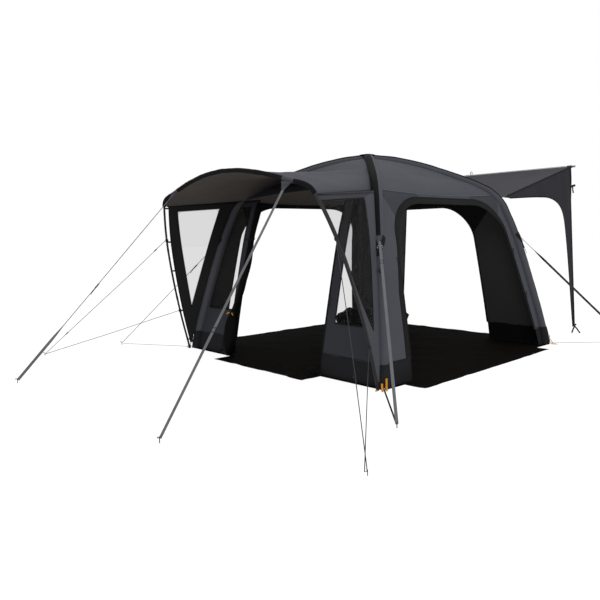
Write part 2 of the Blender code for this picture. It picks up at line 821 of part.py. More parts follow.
def wing_lines(count):
    """Matching points down the pole edge and the beam edge of the right wing."""
    pole, beam = [], []
    top_pole, top_beam = HOOP_SLEEVE_FROM - WING_BELOW_HOOP_SLEEVE, EAVE_Z - WING_BELOW_EAVE
    for i in range(count + 1):
        t = i / count
        zp = top_pole + (WING_LOW - top_pole) * t
        zb = top_beam + (WING_LOW - top_beam) * t
        rim = hoop_point(hoop_half_at(zp), zp)
        half = half_at(zb)
        leg = Vector((half, -half, zb))
        toward = (leg - rim)
        toward.z = 0
        toward.normalize()
        pole.append(rim + toward * (WING_POLE_CLEAR_HIGH + (WING_POLE_CLEAR_LOW - WING_POLE_CLEAR_HIGH) * t))
        beam.append(leg - toward * (SLEEVE_R * LEAN_STRETCH + GAP + CLOTH / 2))
    return pole, beam


def wing_place(u, t, lines):
    pole, beam = lines
    at = t * (len(pole) - 1)
    i = min(int(at), len(pole) - 2)
    a = pole[i].lerp(pole[i + 1], at - i)
    b = beam[i].lerp(beam[i + 1], at - i)
    return a.lerp(b, u)


def make_wings():
    lines = wing_lines(16)
    wide = (lines[0][0] - lines[1][0]).length
    tall = (lines[0][0] - lines[0][-1]).length
    apex_t = 1 - (WING_APEX_Z - WING_LOW) / (HOOP_SLEEVE_FROM - WING_LOW)
    top_t = WING_TOP_BAND / tall

    def bands(t):
        """Shares of the width taken by the strip beside the pole, and reached by the one beside the beam."""
        local = (wing_place(0, t, lines) - wing_place(1, t, lines)).length
        both = WING_POLE_BAND + WING_BEAM_BAND
        fit = min(1.0, (local - WING_SLIT) / both)
        return WING_POLE_BAND * fit / local, 1 - WING_BEAM_BAND * fit / local

    rows = 8
    hole_t = [top_t + (apex_t - top_t) * i / rows for i in range(rows + 1)]
    outer = [(0, i / rows) for i in range(rows + 1)] + [(1, 1 - i / rows) for i in range(rows + 1)]
    inner = [(bands(t)[0], t) for t in hole_t] + [(bands(t)[1], t) for t in hole_t[::-1]]
    shift = PANE_GAP / wide
    for hand, name in ((1, "right"), (-1, "left")):
        flip = Matrix.Diagonal((hand, 1, 1))
        rows_uv = between(outer, inner, 2)
        grid = [[flip @ wing_place(u, t, lines) for u, t in row] for row in rows_uv]
        sheet("canopy_wing_" + name, [grid], SLATE, closed=True)
        pane = []
        for t in hole_t:
            t = min(max(t, hole_t[0] + PANE_GAP * 2), hole_t[-1] - PANE_GAP * 2)
            a, b = bands(t)
            a, b = a + shift * 2.5, b - shift * 2.5
            pane.append([flip @ wing_place(a + (b - a) * k / 2, t, lines) for k in range(3)])
        sheet("wing_window_" + name, [pane], CLEAR, PANE)


# Tunnel to the van
def tunnel_start():
    """Front edge of the tunnel roof, just clear of the back wall's eave."""
    z = EAVE_Z - TUNNEL_BELOW_EAVE
    return half_at(z) + CLOTH / 2 + GAP * 3, z


def tunnel_roof_z(y):
    y0, z0 = tunnel_start()
    return z0 + (TUNNEL_TOP_Z - z0) * (y - y0) / (TUNNEL_END_Y - y0)


def tunnel_side(y):
    """Half the width of the tunnel, which widens from the cabin to the vehicle."""
    y0, _ = tunnel_start()
    return TUNNEL_FRONT_HALF + (TUNNEL_HALF - TUNNEL_FRONT_HALF) * (y - y0) / (TUNNEL_END_Y - y0)


def make_tunnel():
    """Roof of the tunnel, let out round the two back beams at its front corners."""
    y0, _ = tunnel_start()
    stop = TUNNEL_END_Y - TUNNEL_POLE_R
    inner = 1 - (EDGE + CLOTH) / TUNNEL_FRONT_HALF
    grid = []
    for share in (-1.0, -inner, -inner / 2, 0.0, inner / 2, inner, 1.0):
        start = behind_beam() if abs(share) > inner else y0
        grid.append([(share * tunnel_side(y), y, tunnel_roof_z(y)) for y in np.linspace(start, stop, 6)])
    sheet("tunnel_roof", [grid], SLATE)

    for hand, name in ((1, "right"), (-1, "left")):
        sheet("tunnel_curtain_" + name, [curtain_grid(hand)], INNER)


def behind_beam():
    """Nearest place behind a back beam that is clear of its sleeve, down to the curtain's lower edge."""
    return half_at(BEHIND_BEAM_Z) + SLEEVE_R * LEAN_STRETCH + CLOTH


def curtain_grid(hand):
    """Side curtain: shallow along the roof, then a narrow hanging leg, pegged a little outward."""
    under = CLOTH * 0.6
    before_pole = TUNNEL_END_Y - TUNNEL_POLE_R - CLOTH
    top = [(y, tunnel_roof_z(y) - under) for y in np.linspace(behind_beam() + CLOTH / 2, before_pole, 6)]
    legs = CURTAIN_EDGE[len(top):]
    outer = top + [(TUNNEL_END_Y + TUNNEL_LEG_BACK * (1 - z / TUNNEL_TOP_Z), z)
                   for z in np.linspace(CURTAIN_LEG_TOP_Z, TUNNEL_FOOT_Z, len(legs))]
    grid = []
    for row in between(outer, CURTAIN_EDGE, 2):
        grid.append([(hand * (min(tunnel_side(y), TUNNEL_HALF) - CLOTH
                              + CURTAIN_FLARE * max(0.0, 1 - z / CURTAIN_LEG_Z)), y, z) for y, z in row])
    return grid


def make_tunnel_pole():
    half = TUNNEL_HALF + TUNNEL_POLE_OVER
    path = [(-half + 2 * half * i / 4, TUNNEL_END_Y, TUNNEL_TOP_Z) for i in range(5)]
    bm = bmesh.new()
    add_rod(bm, rings_along(path, TUNNEL_POLE_R, 12))
    outward(bm)
    round_off(add("tunnel_pole", bm, BRIGHT))


def make_van_strip():
    """Flat strip along the van side, just past the pole, that lies against the vehicle."""
    y = TUNNEL_END_Y + TUNNEL_POLE_R + GAP
    bm = bmesh.new()
    bmesh.ops.create_cube(bm, size=1.0)
    bmesh.ops.scale(bm, vec=(2 * TUNNEL_HALF, RAIL_W, RAIL_H), verts=bm.verts[:])
    bmesh.ops.translate(bm, vec=(0, y + RAIL_W / 2, TUNNEL_TOP_Z), verts=bm.verts[:])
    add("van_strip", bm, BLACK)


# Straps, buckles and pegs
def storm_line(corner):
    """Top and bottom of a corner storm strap."""
    seat, out = outside_of_beam(*CORNERS[corner], STORM_Z)
    return seat + out * GAP * 2, Vector((*STORM_PEGS[corner], STORM_PEG_Z))


def make_buckle(name, top, bottom, share):
    """A ladder-lock on a strap: a plate with a slot, on a pivot that lies on the strap."""
    along = (bottom - top).normalized()
    level = Vector((along.y, -along.x, 0)).normalized()
    face = along.cross(level)
    centre = top.lerp(bottom, share)
    place = Matrix.Translation(centre) @ Matrix((level, along, face)).transposed().to_4x4()
    w, l, t = BUCKLE_W / 2, BUCKLE_L / 2, BUCKLE_T / 2
    a, c = SLOT_W / 2, SLOT_T / 2
    rim = ((-w, -t), (w, -t), (w, t), (-w, t))
    slot = ((-a, -c), (a, -c), (a, c), (-a, c))
    outer = [[place @ Vector((x, y, z)) for x, z in rim] for y in (-l, l)]
    inner = [[place @ Vector((x, y, z)) for x, z in slot] for y in (-l, l)]
    bm = bmesh.new()
    add_pipe(bm, outer, inner)
    outward(bm)
    add(name, bm, PLASTIC, pivot(name + "_slide", centre))


def make_storm_straps():
    for corner, share in STORM_BUCKLE_SHARES.items():
        top, bottom = storm_line(corner)
        along = (bottom - top).normalized()
        level = Vector((along.y, -along.x, 0)).normalized()
        bm = bmesh.new()
        strip(bm, top, bottom, level, STRAP_W, STRAP_T)
        outward(bm)
        add("storm_strap_" + corner, bm, WEBBING)
        make_buckle("storm_buckle_" + corner, top, bottom, share)


def guy_line(hand):
    """Ends of a canopy guy strap: below its tab and at its peg."""
    rim = hoop_point(hand * TAB_X, float(np.interp(TAB_X, HOOP_HALF[::-1, 0], HOOP_HALF[::-1, 1])))
    peg = Vector((*GUY_PEGS["right" if hand > 0 else "left"], STORM_PEG_Z))
    along = (peg - rim).normalized()
    return rim + along * (HOOP_SLEEVE_R + TAB_LONG), peg, rim, along


def make_guy_straps():
    for hand, name in ((1, "right"), (-1, "left")):
        top, bottom, _, along = guy_line(hand)
        level = Vector((along.y, -along.x, 0)).normalized()
        bm = bmesh.new()
        strip(bm, top + along * GAP, bottom, level, STRAP_W, STRAP_T)
        outward(bm)
        add("guy_strap_" + name, bm, WEBBING)
        make_buckle("guy_buckle_" + name, top, bottom, GUY_BUCKLE_SHARES[name])


# Each cord runs from the upper clip on its leg of the hoop to a peg, round it, and back to the lower clip.
CORD_ROUTES = {
    "right": (
        (1.3381, -1.8933, 1.2891), (1.6725, -2.1690, 0.9580), (2.0010, -2.4460, 0.6420),
        (2.3260, -2.7260, 0.3240), (2.6160, -2.9760, 0.0420), (2.6330, -2.9930, 0.0230),
        (2.6420, -2.9990, 0.0180), (2.6385, -3.0095, 0.0180), (2.6275, -3.0060, 0.0210),
        (2.6060, -2.9820, 0.0300), (2.3280, -2.6570, 0.1200), (2.0400, -2.3200, 0.2080),
        (1.7580, -1.9900, 0.2960), (1.4744, -1.6548, 0.3838),
    ),
    "left": (
        (-1.3362, -1.8945, 1.2882), (-1.5900, -2.1570, 0.9580), (-1.8390, -2.4200, 0.6420),
        (-2.0890, -2.6870, 0.3240), (-2.3060, -2.9200, 0.0420), (-2.3200, -2.9360, 0.0230),
        (-2.3270, -2.9430, 0.0180), (-2.3230, -2.9520, 0.0180), (-2.3120, -2.9470, 0.0210),
        (-2.2920, -2.9230, 0.0300), (-2.0920, -2.6210, 0.1340), (-1.8800, -2.3030, 0.2430),
        (-1.6740, -1.9920, 0.3560), (-1.4677, -1.6779, 0.4669),
    ),
}
CORD_POINTS = 72


def make_cords():
    for name, points in CORD_ROUTES.items():
        data = bpy.data.curves.new("hoop_cord_" + name, "CURVE")
        data.dimensions = "3D"
        data.bevel_depth = CORD_D / 2
        data.bevel_resolution = 2
        data.use_fill_caps = True
        route = smooth_path(points, CORD_POINTS - 1)
        line = data.splines.new("POLY")
        line.points.add(len(route) - 1)
        for slot, (x, y, z) in zip(line.points, route):
            slot.co = (x, y, z, 1)
        cord = bpy.data.objects.new(data.name, data)
        bpy.context.scene.collection.objects.link(cord)
        data.materials.append(material(*CORD))


def make_guy_pegs():
    """Hooked tops of the two guy pegs, standing where the ground takes their shafts."""
    for hand, name in ((1, "right"), (-1, "left")):
        _, foot, _, along = guy_line(hand)
        out = Vector((along.x, along.y, 0)).normalized()
        base = Vector((foot.x, foot.y, 0)) + out * (PEG_R + STRAP_T / 2 + GAP)
        hook = ((0.0, 0.0005), (0.0, PEG_TALL * 0.75), (0.003, PEG_TALL), (0.012, PEG_TALL + 0.002),
                (0.020, PEG_TALL - 0.003))
        bm = bmesh.new()
        add_rod(bm, rings_along([base + out * reach + Vector((0, 0, z)) for reach, z in hook], PEG_R, 8))
        outward(bm)
        round_off(add("guy_peg_" + name, bm, STEEL))


def make_valve():
    """One valve on the outer side of the near right beam, square to the beam's slope."""
    seat, out = outside_of_beam(1, -1, VALVE_Z)
    bm = bmesh.new()
    add_rod(bm, rings_along([seat, seat + out * VALVE_LONG], VALVE_R, 16))
    outward(bm)
    round_off(add("inflation_valve", bm, PLASTIC))
    face = seat + out * (VALVE_LONG + GAP)
    rings = rings_along([face, face + out * CAP_LONG * 0.75, face + out * CAP_LONG], CAP_R, 16)
    middle = face + out * CAP_LONG
    rings[-1] = [middle + (p - middle) * CAP_BEVEL for p in rings[-1]]
    for ring in rings[:2]:
        centre = sum(ring, Vector()) / len(ring)
        for k in range(0, len(ring), 2):
            ring[k] = centre + (ring[k] - centre) * CAP_GRIP
    bm = bmesh.new()
    add_rod(bm, rings)
    outward(bm)
    add("valve_cap", bm, ORANGE, pivot("valve_cap_turn", face))


def main():
    hinge = pivot("canopy_fold", (0, HOOP_FOOT_Y, BALL_Z))
    make_air_frame()
    make_sleeves()
    make_hub_cap()
    make_roof()
    make_walls()
    make_mud_walls()
    make_front_panels()
    make_groundsheet()
    make_door_rolls()
    make_hoop(hinge)
    make_hoop_sleeve(hinge)
    make_canopy()
    make_wings()
    make_tunnel()
    make_tunnel_pole()
    make_van_strip()
    make_storm_straps()
    make_guy_straps()
    make_cords()
    make_guy_pegs()
    make_valve()


main()
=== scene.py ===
"""Looks of a campervan awning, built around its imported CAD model. Metres, +Z up."""
import math

import bpy
import numpy as np
from mathutils import Matrix, Vector


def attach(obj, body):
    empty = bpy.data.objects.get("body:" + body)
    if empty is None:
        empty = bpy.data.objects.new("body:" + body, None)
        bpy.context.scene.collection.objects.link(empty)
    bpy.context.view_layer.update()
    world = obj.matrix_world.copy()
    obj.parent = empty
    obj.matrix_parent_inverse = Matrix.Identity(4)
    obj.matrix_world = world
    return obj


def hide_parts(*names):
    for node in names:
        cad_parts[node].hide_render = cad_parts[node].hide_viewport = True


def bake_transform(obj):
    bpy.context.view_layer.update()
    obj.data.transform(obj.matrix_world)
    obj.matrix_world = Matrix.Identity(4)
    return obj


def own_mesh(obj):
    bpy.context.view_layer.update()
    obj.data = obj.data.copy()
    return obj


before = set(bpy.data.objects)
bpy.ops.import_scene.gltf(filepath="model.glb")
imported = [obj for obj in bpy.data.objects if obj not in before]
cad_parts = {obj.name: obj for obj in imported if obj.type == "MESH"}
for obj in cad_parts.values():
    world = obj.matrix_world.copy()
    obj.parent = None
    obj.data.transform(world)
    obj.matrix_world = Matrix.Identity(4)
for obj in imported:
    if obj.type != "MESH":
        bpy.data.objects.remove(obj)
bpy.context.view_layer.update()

# The camera at the photograph's viewing angle
CAMERA_PLACE = (4.849, -5.4792, 1.3344)
CAMERA_YAW, CAMERA_PITCH, CAMERA_ROLL = 0.8342, 0.1058, -0.0185
CAMERA_LENS, CAMERA_SENSOR, CAMERA_REACH = 37.218, 36.0, 200.0

# The awning's lines, as in the CAD source
BEAM_PROFILE = (
    (1.455, 0.00), (1.434, 0.17), (1.366, 0.52), (1.262, 1.00), (1.190, 1.30),
    (1.128, 1.50), (1.055, 1.70), (0.905, 1.838), (0.745, 1.925), (0.582, 2.010),
    (0.400, 2.090), (0.218, 2.148), (0.090, 2.172), (0.000, 2.180),
)
SLEEVE_R = 0.050
GAP = 0.0003
CLOTH = 0.004
EDGE = (SLEEVE_R + GAP) * math.sqrt(2) + CLOTH / 2
ROOF_EDGE = (SLEEVE_R + GAP) * math.sqrt(2) + GAP
FLOOR_Z = 0.0033
EAVE_Z, EAVE_MID_Z, FRONT_EAVE_MID_Z = 1.735, 1.700, 1.785
SEAM = 0.0035
FACET_TOP_HALF = 0.12
MUD_H, MUD_ROUND = 0.210, 0.0570
GROUND_HALF, SHEET_T = 1.50, 0.003
DOOR_HALF, FRONT_PANEL_TOP = 0.68, 1.715
WINDOW_IN, WINDOW_LEG, WINDOW_LOW, WINDOW_HIGH = 0.80, 0.098, 0.50, 1.645
FLAPS = {
    "front": (-0.713, 0.215, 0.727, 0.235), "right": (-1.217, 0.216, 1.181, 0.150),
    "back": (-0.735, 0.200, 0.735, 0.200), "left": (-1.181, 0.150, 1.217, 0.216),
}
HOOP_FOOT_Y, HOOP_LEAN, HOOP_FOOT_Z = -1.545, 0.262, 0.018
HOOP_PROFILE = (
    (1.470, 0.018), (1.462, 0.42), (1.425, 0.80), (1.364, 1.15), (1.293, 1.40),
    (1.196, 1.64), (1.146, 1.712), (1.066, 1.748), (0.910, 1.787), (0.740, 1.832),
    (0.550, 1.875), (0.280, 1.918), (0.000, 1.935),
)
HOOP_SHOULDER = 1.146
POLE_R, HOOP_SLEEVE_R, HOOP_SLEEVE_FROM = 0.0115, 0.021, 1.66
TUNNEL_HALF, TUNNEL_FRONT_HALF, TUNNEL_TOP_Z, TUNNEL_END_Y = 1.300, 1.060, 2.115, 2.380
TUNNEL_POLE_R, TUNNEL_FOOT_Z = 0.0110, 0.095
CURTAIN_EDGES = {
    "right": (
        (1.260, 1.706), (1.440, 1.715), (1.630, 1.724), (1.800, 1.728), (1.960, 1.722), (2.095, 1.680),
        (2.190, 1.598), (2.243, 1.470), (2.272, 1.270), (2.296, 1.020), (2.318, 0.730), (2.340, 0.383),
        (2.362, 0.095),
    ),
    "left": (
        (1.260, 1.706), (1.420, 1.712), (1.580, 1.716), (1.720, 1.708), (1.850, 1.672), (1.945, 1.590),
        (2.005, 1.460), (2.035, 1.250), (2.070, 1.000), (2.120, 0.740), (2.205, 0.470), (2.300, 0.240),
        (2.362, 0.095),
    ),
}
CURTAIN_FLARE, CURTAIN_LEG_Z, TUNNEL_LEG_BACK = 0.090, 1.700, 0.024
STORM_PEGS = {
    "front_left": (-2.300, -2.000), "front_right": (2.220, -2.220),
    "back_right": (2.140, 2.110), "back_left": (-2.180, 2.120),
}
STORM_Z, PEG_Z = 1.240, 0.030
STORM_BUCKLE_SHARES = {"front_left": 0.23, "front_right": 0.14, "back_right": 0.22, "back_left": 0.22}
GUY_PEGS = {"right": (1.325, -3.535), "left": (-1.137, -3.622)}
GUY_BUCKLE_SHARES = {"right": 0.62, "left": 0.50}
TAB_X, TAB_LONG = 0.90, 0.105
SIDES = {"front": 0, "right": 1, "back": 2, "left": 3}
CORNERS = {"front_left": (-1, -1), "front_right": (1, -1), "back_right": (1, 1), "back_left": (-1, 1)}
HANDS = {"right": 1, "left": -1}
CORD_ROUTES = {
    "right": (
        (1.3381, -1.8933, 1.2891), (1.6725, -2.1690, 0.9580), (2.0010, -2.4460, 0.6420),
        (2.3260, -2.7260, 0.3240), (2.6160, -2.9760, 0.0420), (2.6330, -2.9930, 0.0230),
        (2.6420, -2.9990, 0.0180), (2.6385, -3.0095, 0.0180), (2.6275, -3.0060, 0.0210),
        (2.6060, -2.9820, 0.0300), (2.3280, -2.6570, 0.1200), (2.0400, -2.3200, 0.2080),
        (1.7580, -1.9900, 0.2960), (1.4744, -1.6548, 0.3838),
    ),
    "left": (
        (-1.3362, -1.8945, 1.2882), (-1.5900, -2.1570, 0.9580), (-1.8390, -2.4200, 0.6420),
        (-2.0890, -2.6870, 0.3240), (-2.3060, -2.9200, 0.0420), (-2.3200, -2.9360, 0.0230),
        (-2.3270, -2.9430, 0.0180), (-2.3230, -2.9520, 0.0180), (-2.3120, -2.9470, 0.0210),
        (-2.2920, -2.9230, 0.0300), (-2.0920, -2.6210, 0.1340), (-1.8800, -2.3030, 0.2430),
        (-1.6740, -1.9920, 0.3560), (-1.4677, -1.6779, 0.4669),
    ),
}
CORD_TURN = 6

# The cloth ends under a beam's cover, this far from the beam's axis
TUCK = SLEEVE_R - 0.005
# Thicknesses of cloth, stout cloth, film, straps and bindings
SKIN_T, STOUT_T, FILM_T, STRAP_T, BINDING_T = 0.0014, 0.0016, 0.0008, 0.0016, 0.0040
# Tapes, bindings and straps: (width, thickness)
PIPING_TAPE = (0.011, 0.0030)
JAMB_TAPE = (0.014, 0.0056)
PANEL_TAPE = (0.024, 0.0050)
PANE_TAPE = (0.016, 0.0016)
RIM_HIGHLIGHT_BAND = (0.022, 0.0030)
POLE_TAPE = (0.020, 0.0040)
FILM_TAPE = (0.010, 0.0026)
LOOP_TAPE = (0.018, 0.0022)
TUNNEL_TAPE = (0.014, 0.0060)
CURTAIN_TAPE = (0.012, 0.0040)
LEG_TAPE = (0.030, 0.0050)
VAN_STRIP = (0.030, 0.0135)
LOCK_TAB_TAPE = (0.022, 0.0022)
LOCK_TAIL_TAPE = (0.0195, 0.0015)
PATCH_TAIL_TAPE = (0.012, 0.0014)
PULL_TAPE = (0.017, 0.0022)
PULL_TAB_TAPE = (0.020, 0.0030)
ROLL_TIE_TAPE = (0.018, 0.0020)
TIE_END_TAPE = (0.012, 0.0018)
POLE_LOOP_TAPE = (0.020, 0.0022)
TIE_TAIL_TAPE = (0.016, 0.0020)
RAIL_TAPE = (0.014, 0.0026)
RAIL_TAB_TAPE = (0.016, 0.0026)
STAY_TAPE = (0.018, 0.0018)
GRIP_TAPE = (0.008, 0.0030)
# Places inside the awning, from which a cloth's outer face looks away
ROOM, PORCH, TUNNEL_ROOM = (0, 0, 0.9), (0, -1.2, 0.9), (0, 2.0, 0.8)
TWO_PI = 2 * math.pi
UP = np.array((0, 0, 1.0))


def linked(name, data):
    """A new object in the scene, for a mesh, a lamp or a camera."""
    obj = bpy.data.objects.new(name, data)
    bpy.context.scene.collection.objects.link(obj)
    return obj


def make_camera():
    level = Vector((-math.sin(CAMERA_YAW), math.cos(CAMERA_YAW), 0))
    side = Vector((math.cos(CAMERA_YAW), math.sin(CAMERA_YAW), 0))
    ahead = level * math.cos(CAMERA_PITCH) - Vector((0, 0, math.sin(CAMERA_PITCH)))
    above = Vector((0, 0, math.cos(CAMERA_PITCH))) + level * math.sin(CAMERA_PITCH)
    right = side * math.cos(CAMERA_ROLL) + above * math.sin(CAMERA_ROLL)
    top = above * math.cos(CAMERA_ROLL) - side * math.sin(CAMERA_ROLL)
    data = bpy.data.cameras.new("camera")
    data.lens, data.sensor_width, data.clip_end = CAMERA_LENS, CAMERA_SENSOR, CAMERA_REACH
    camera = linked("camera", data)
    turn = Matrix((right, top, -ahead)).transposed().to_4x4()
    camera.matrix_world = Matrix.Translation(CAMERA_PLACE) @ turn
    bpy.context.scene.camera = camera


# Lines and grids
def lerp(a, b, t):
    return a + (b - a) * t


def ramp(value, start, stop):
    """The share of the way from start to stop, held between 0 and 1."""
    return np.clip((value - start) / (stop - start), 0, 1)


def unit(v):
    v = np.asarray(v, float)
    return v / np.maximum(np.linalg.norm(v, axis=-1, keepdims=True), 1e-12)


def circle(count):
    return TWO_PI * np.arange(count) / count


def run_along(path):
    """The run from a path's start to each of its points."""
    return np.concatenate(([0], np.cumsum(np.linalg.norm(np.diff(path, axis=0), axis=1))))


def even_path(points, steps):
    points = np.array(points, float)
    run = run_along(points)
    at = np.linspace(0, run[-1], steps + 1)
    return np.column_stack([np.interp(at, run, points[:, k]) for k in range(points.shape[1])])


def smooth_path(points, steps):
    """Points at equal steps along a Catmull-Rom curve through the given points."""
    pts = [np.array(p, float) for p in points]
    pts = [2 * pts[0] - pts[1]] + pts + [2 * pts[-1] - pts[-2]]
    fine = []
    for a, b, c, d in zip(pts, pts[1:], pts[2:], pts[3:]):
        for t in np.arange(12) / 12:
            fine.append(0.5 * (2 * b + (c - a) * t + (2 * a - 5 * b + 4 * c - d) * t * t
                               + (3 * b - a - 3 * c + d) * t ** 3))
    fine.append(pts[-2])
    return even_path(fine, steps)


def around(turn, side, up):
    """Places on a circle of radius 1 across two ways, at these angles."""
    return np.cos(turn)[:, None] * side + np.sin(turn)[:, None] * up


BEAM_LINE = smooth_path(BEAM_PROFILE, 160)
HOOP_HALF = smooth_path(HOOP_PROFILE, 60)


def half_at(z):
    """How far out a beam's axis is at a height."""
    return np.interp(z, BEAM_LINE[:, 1], BEAM_LINE[:, 0])


def height_at(half):
    return np.interp(half, BEAM_LINE[::-1, 0], BEAM_LINE[::-1, 1])


def turned(points, side):
    """Points of the front wall, turned to another side."""
    angle = SIDES[side] * math.pi / 2
    c, s = round(math.cos(angle)), round(math.sin(angle))
    p = np.asarray(points, float)
    return np.stack([p[..., 0] * c - p[..., 1] * s, p[..., 0] * s + p[..., 1] * c, p[..., 2]], axis=-1)


def wall_points(xz, side, out=0.0):
    """Points of a wall from (distance along it, height)."""
    xz = np.asarray(xz, float)
    x, z = xz[..., 0], xz[..., 1]
    return turned(np.stack([x, -half_at(z) - out, z], axis=-1), side)


def seam_z(s, side):
    mid = FRONT_EAVE_MID_Z if side == "front" else EAVE_MID_Z
    return lerp(EAVE_Z, mid, 1 - s * s)


def spanned(first, second, steps):
    """A grid between two lines of points."""
    t = np.linspace(0, 1, steps + 1)
    return first[:, None] + (second - first)[:, None] * t[None, :, None]


def placer(origin, side, along, up):
    """A function that turns (distance along side, along, up) into places."""
    ways = np.array((side, along, up), float)
    return lambda *spots: [np.array(origin) + np.array(spot, float) @ ways for spot in spots]


def strap_ways(top, bottom):
    """The way along a strap, the level way across it and the way it faces."""
    along = unit(bottom - top)
    level = unit((along[1], -along[0], 0))
    return along, level, np.cross(along, level)


# Soft variation: sums of plain waves in fixed directions
WAVES = 14


def swell(points, seed, size, stretch=(1, 1, 1)):
    """A smooth pattern of about -1 to 1 over points, with humps about size metres apart."""
    rng = np.random.RandomState(seed)
    ways = unit(rng.normal(size=(WAVES, 3))) * np.array(stretch)
    pace = TWO_PI / size * rng.uniform(0.6, 1.5, WAVES)
    start = rng.uniform(0, TWO_PI, WAVES)
    total = sum(np.sin((points @ w) * k + a) for w, k, a in zip(ways, pace, start))
    return total / math.sqrt(WAVES)


def crease(points, seed, size, stretch=(1, 1, 1)):
    """Soft ridges with sharper tops, for cloth under tension."""
    return np.exp(-(swell(points, seed, size, stretch) * 1.8) ** 2) - 0.5


def fade(edge, reach):
    return np.clip(edge / reach, 0, 1) ** 1.5


def rippled(seed, high, size, stretch, reach):
    """A cloth's ripple: a swell that fades towards its borders."""
    return lambda grid, edge: fade(edge, reach) * high * swell(grid, seed, size, stretch)


def normals(grid, closed=False):
    du = np.roll(grid, -1, 0) - np.roll(grid, 1, 0) if closed else np.gradient(grid, axis=0)
    return unit(np.cross(du, np.gradient(grid, axis=1)))


def outward(facing, points, away):
    """Normals at points, all turned round if they look towards a place and not away from it."""
    return -facing if np.mean(np.sum(facing * (points - np.array(away)), axis=-1)) < 0 else facing


def measures(grid, closed=False):
    """Run of each point along both ways of a grid, and its distance from the nearest border."""
    n, m = grid.shape[:2]
    step_v = np.linalg.norm(np.diff(grid, axis=1), axis=2)
    run_v = np.concatenate([np.zeros((n, 1)), np.cumsum(step_v, axis=1)], axis=1)
    step_u = np.linalg.norm(np.diff(grid, axis=0), axis=2)
    run_u = np.concatenate([np.zeros((1, m)), np.cumsum(step_u, axis=0)], axis=0)
    edge = np.minimum(run_v, run_v[:, -1:] - run_v)
    if not closed:
        edge = np.minimum(edge, np.minimum(run_u, run_u[-1:] - run_u))
    return run_u, run_v, edge


def area_of(grid, closed=False):
    g = np.concatenate([grid, grid[:1]], axis=0) if closed else np.asarray(grid, float)
    a, b, c, d = g[:-1, :-1], g[1:, :-1], g[1:, 1:], g[:-1, 1:]
    return float(np.sum(np.linalg.norm(np.cross(b - a, d - a), axis=-1) / 2
                        + np.linalg.norm(np.cross(d - c, b - c), axis=-1) / 2))


# A tape's section: (share of its width, share of its thickness) round it
TAPE_SECTION = (
    (-0.5, 0.1), (-0.44, 0.5), (0.44, 0.5), (0.5, 0.1),
    (0.5, -0.1), (0.44, -0.5), (-0.44, -0.5), (-0.5, -0.1),
)


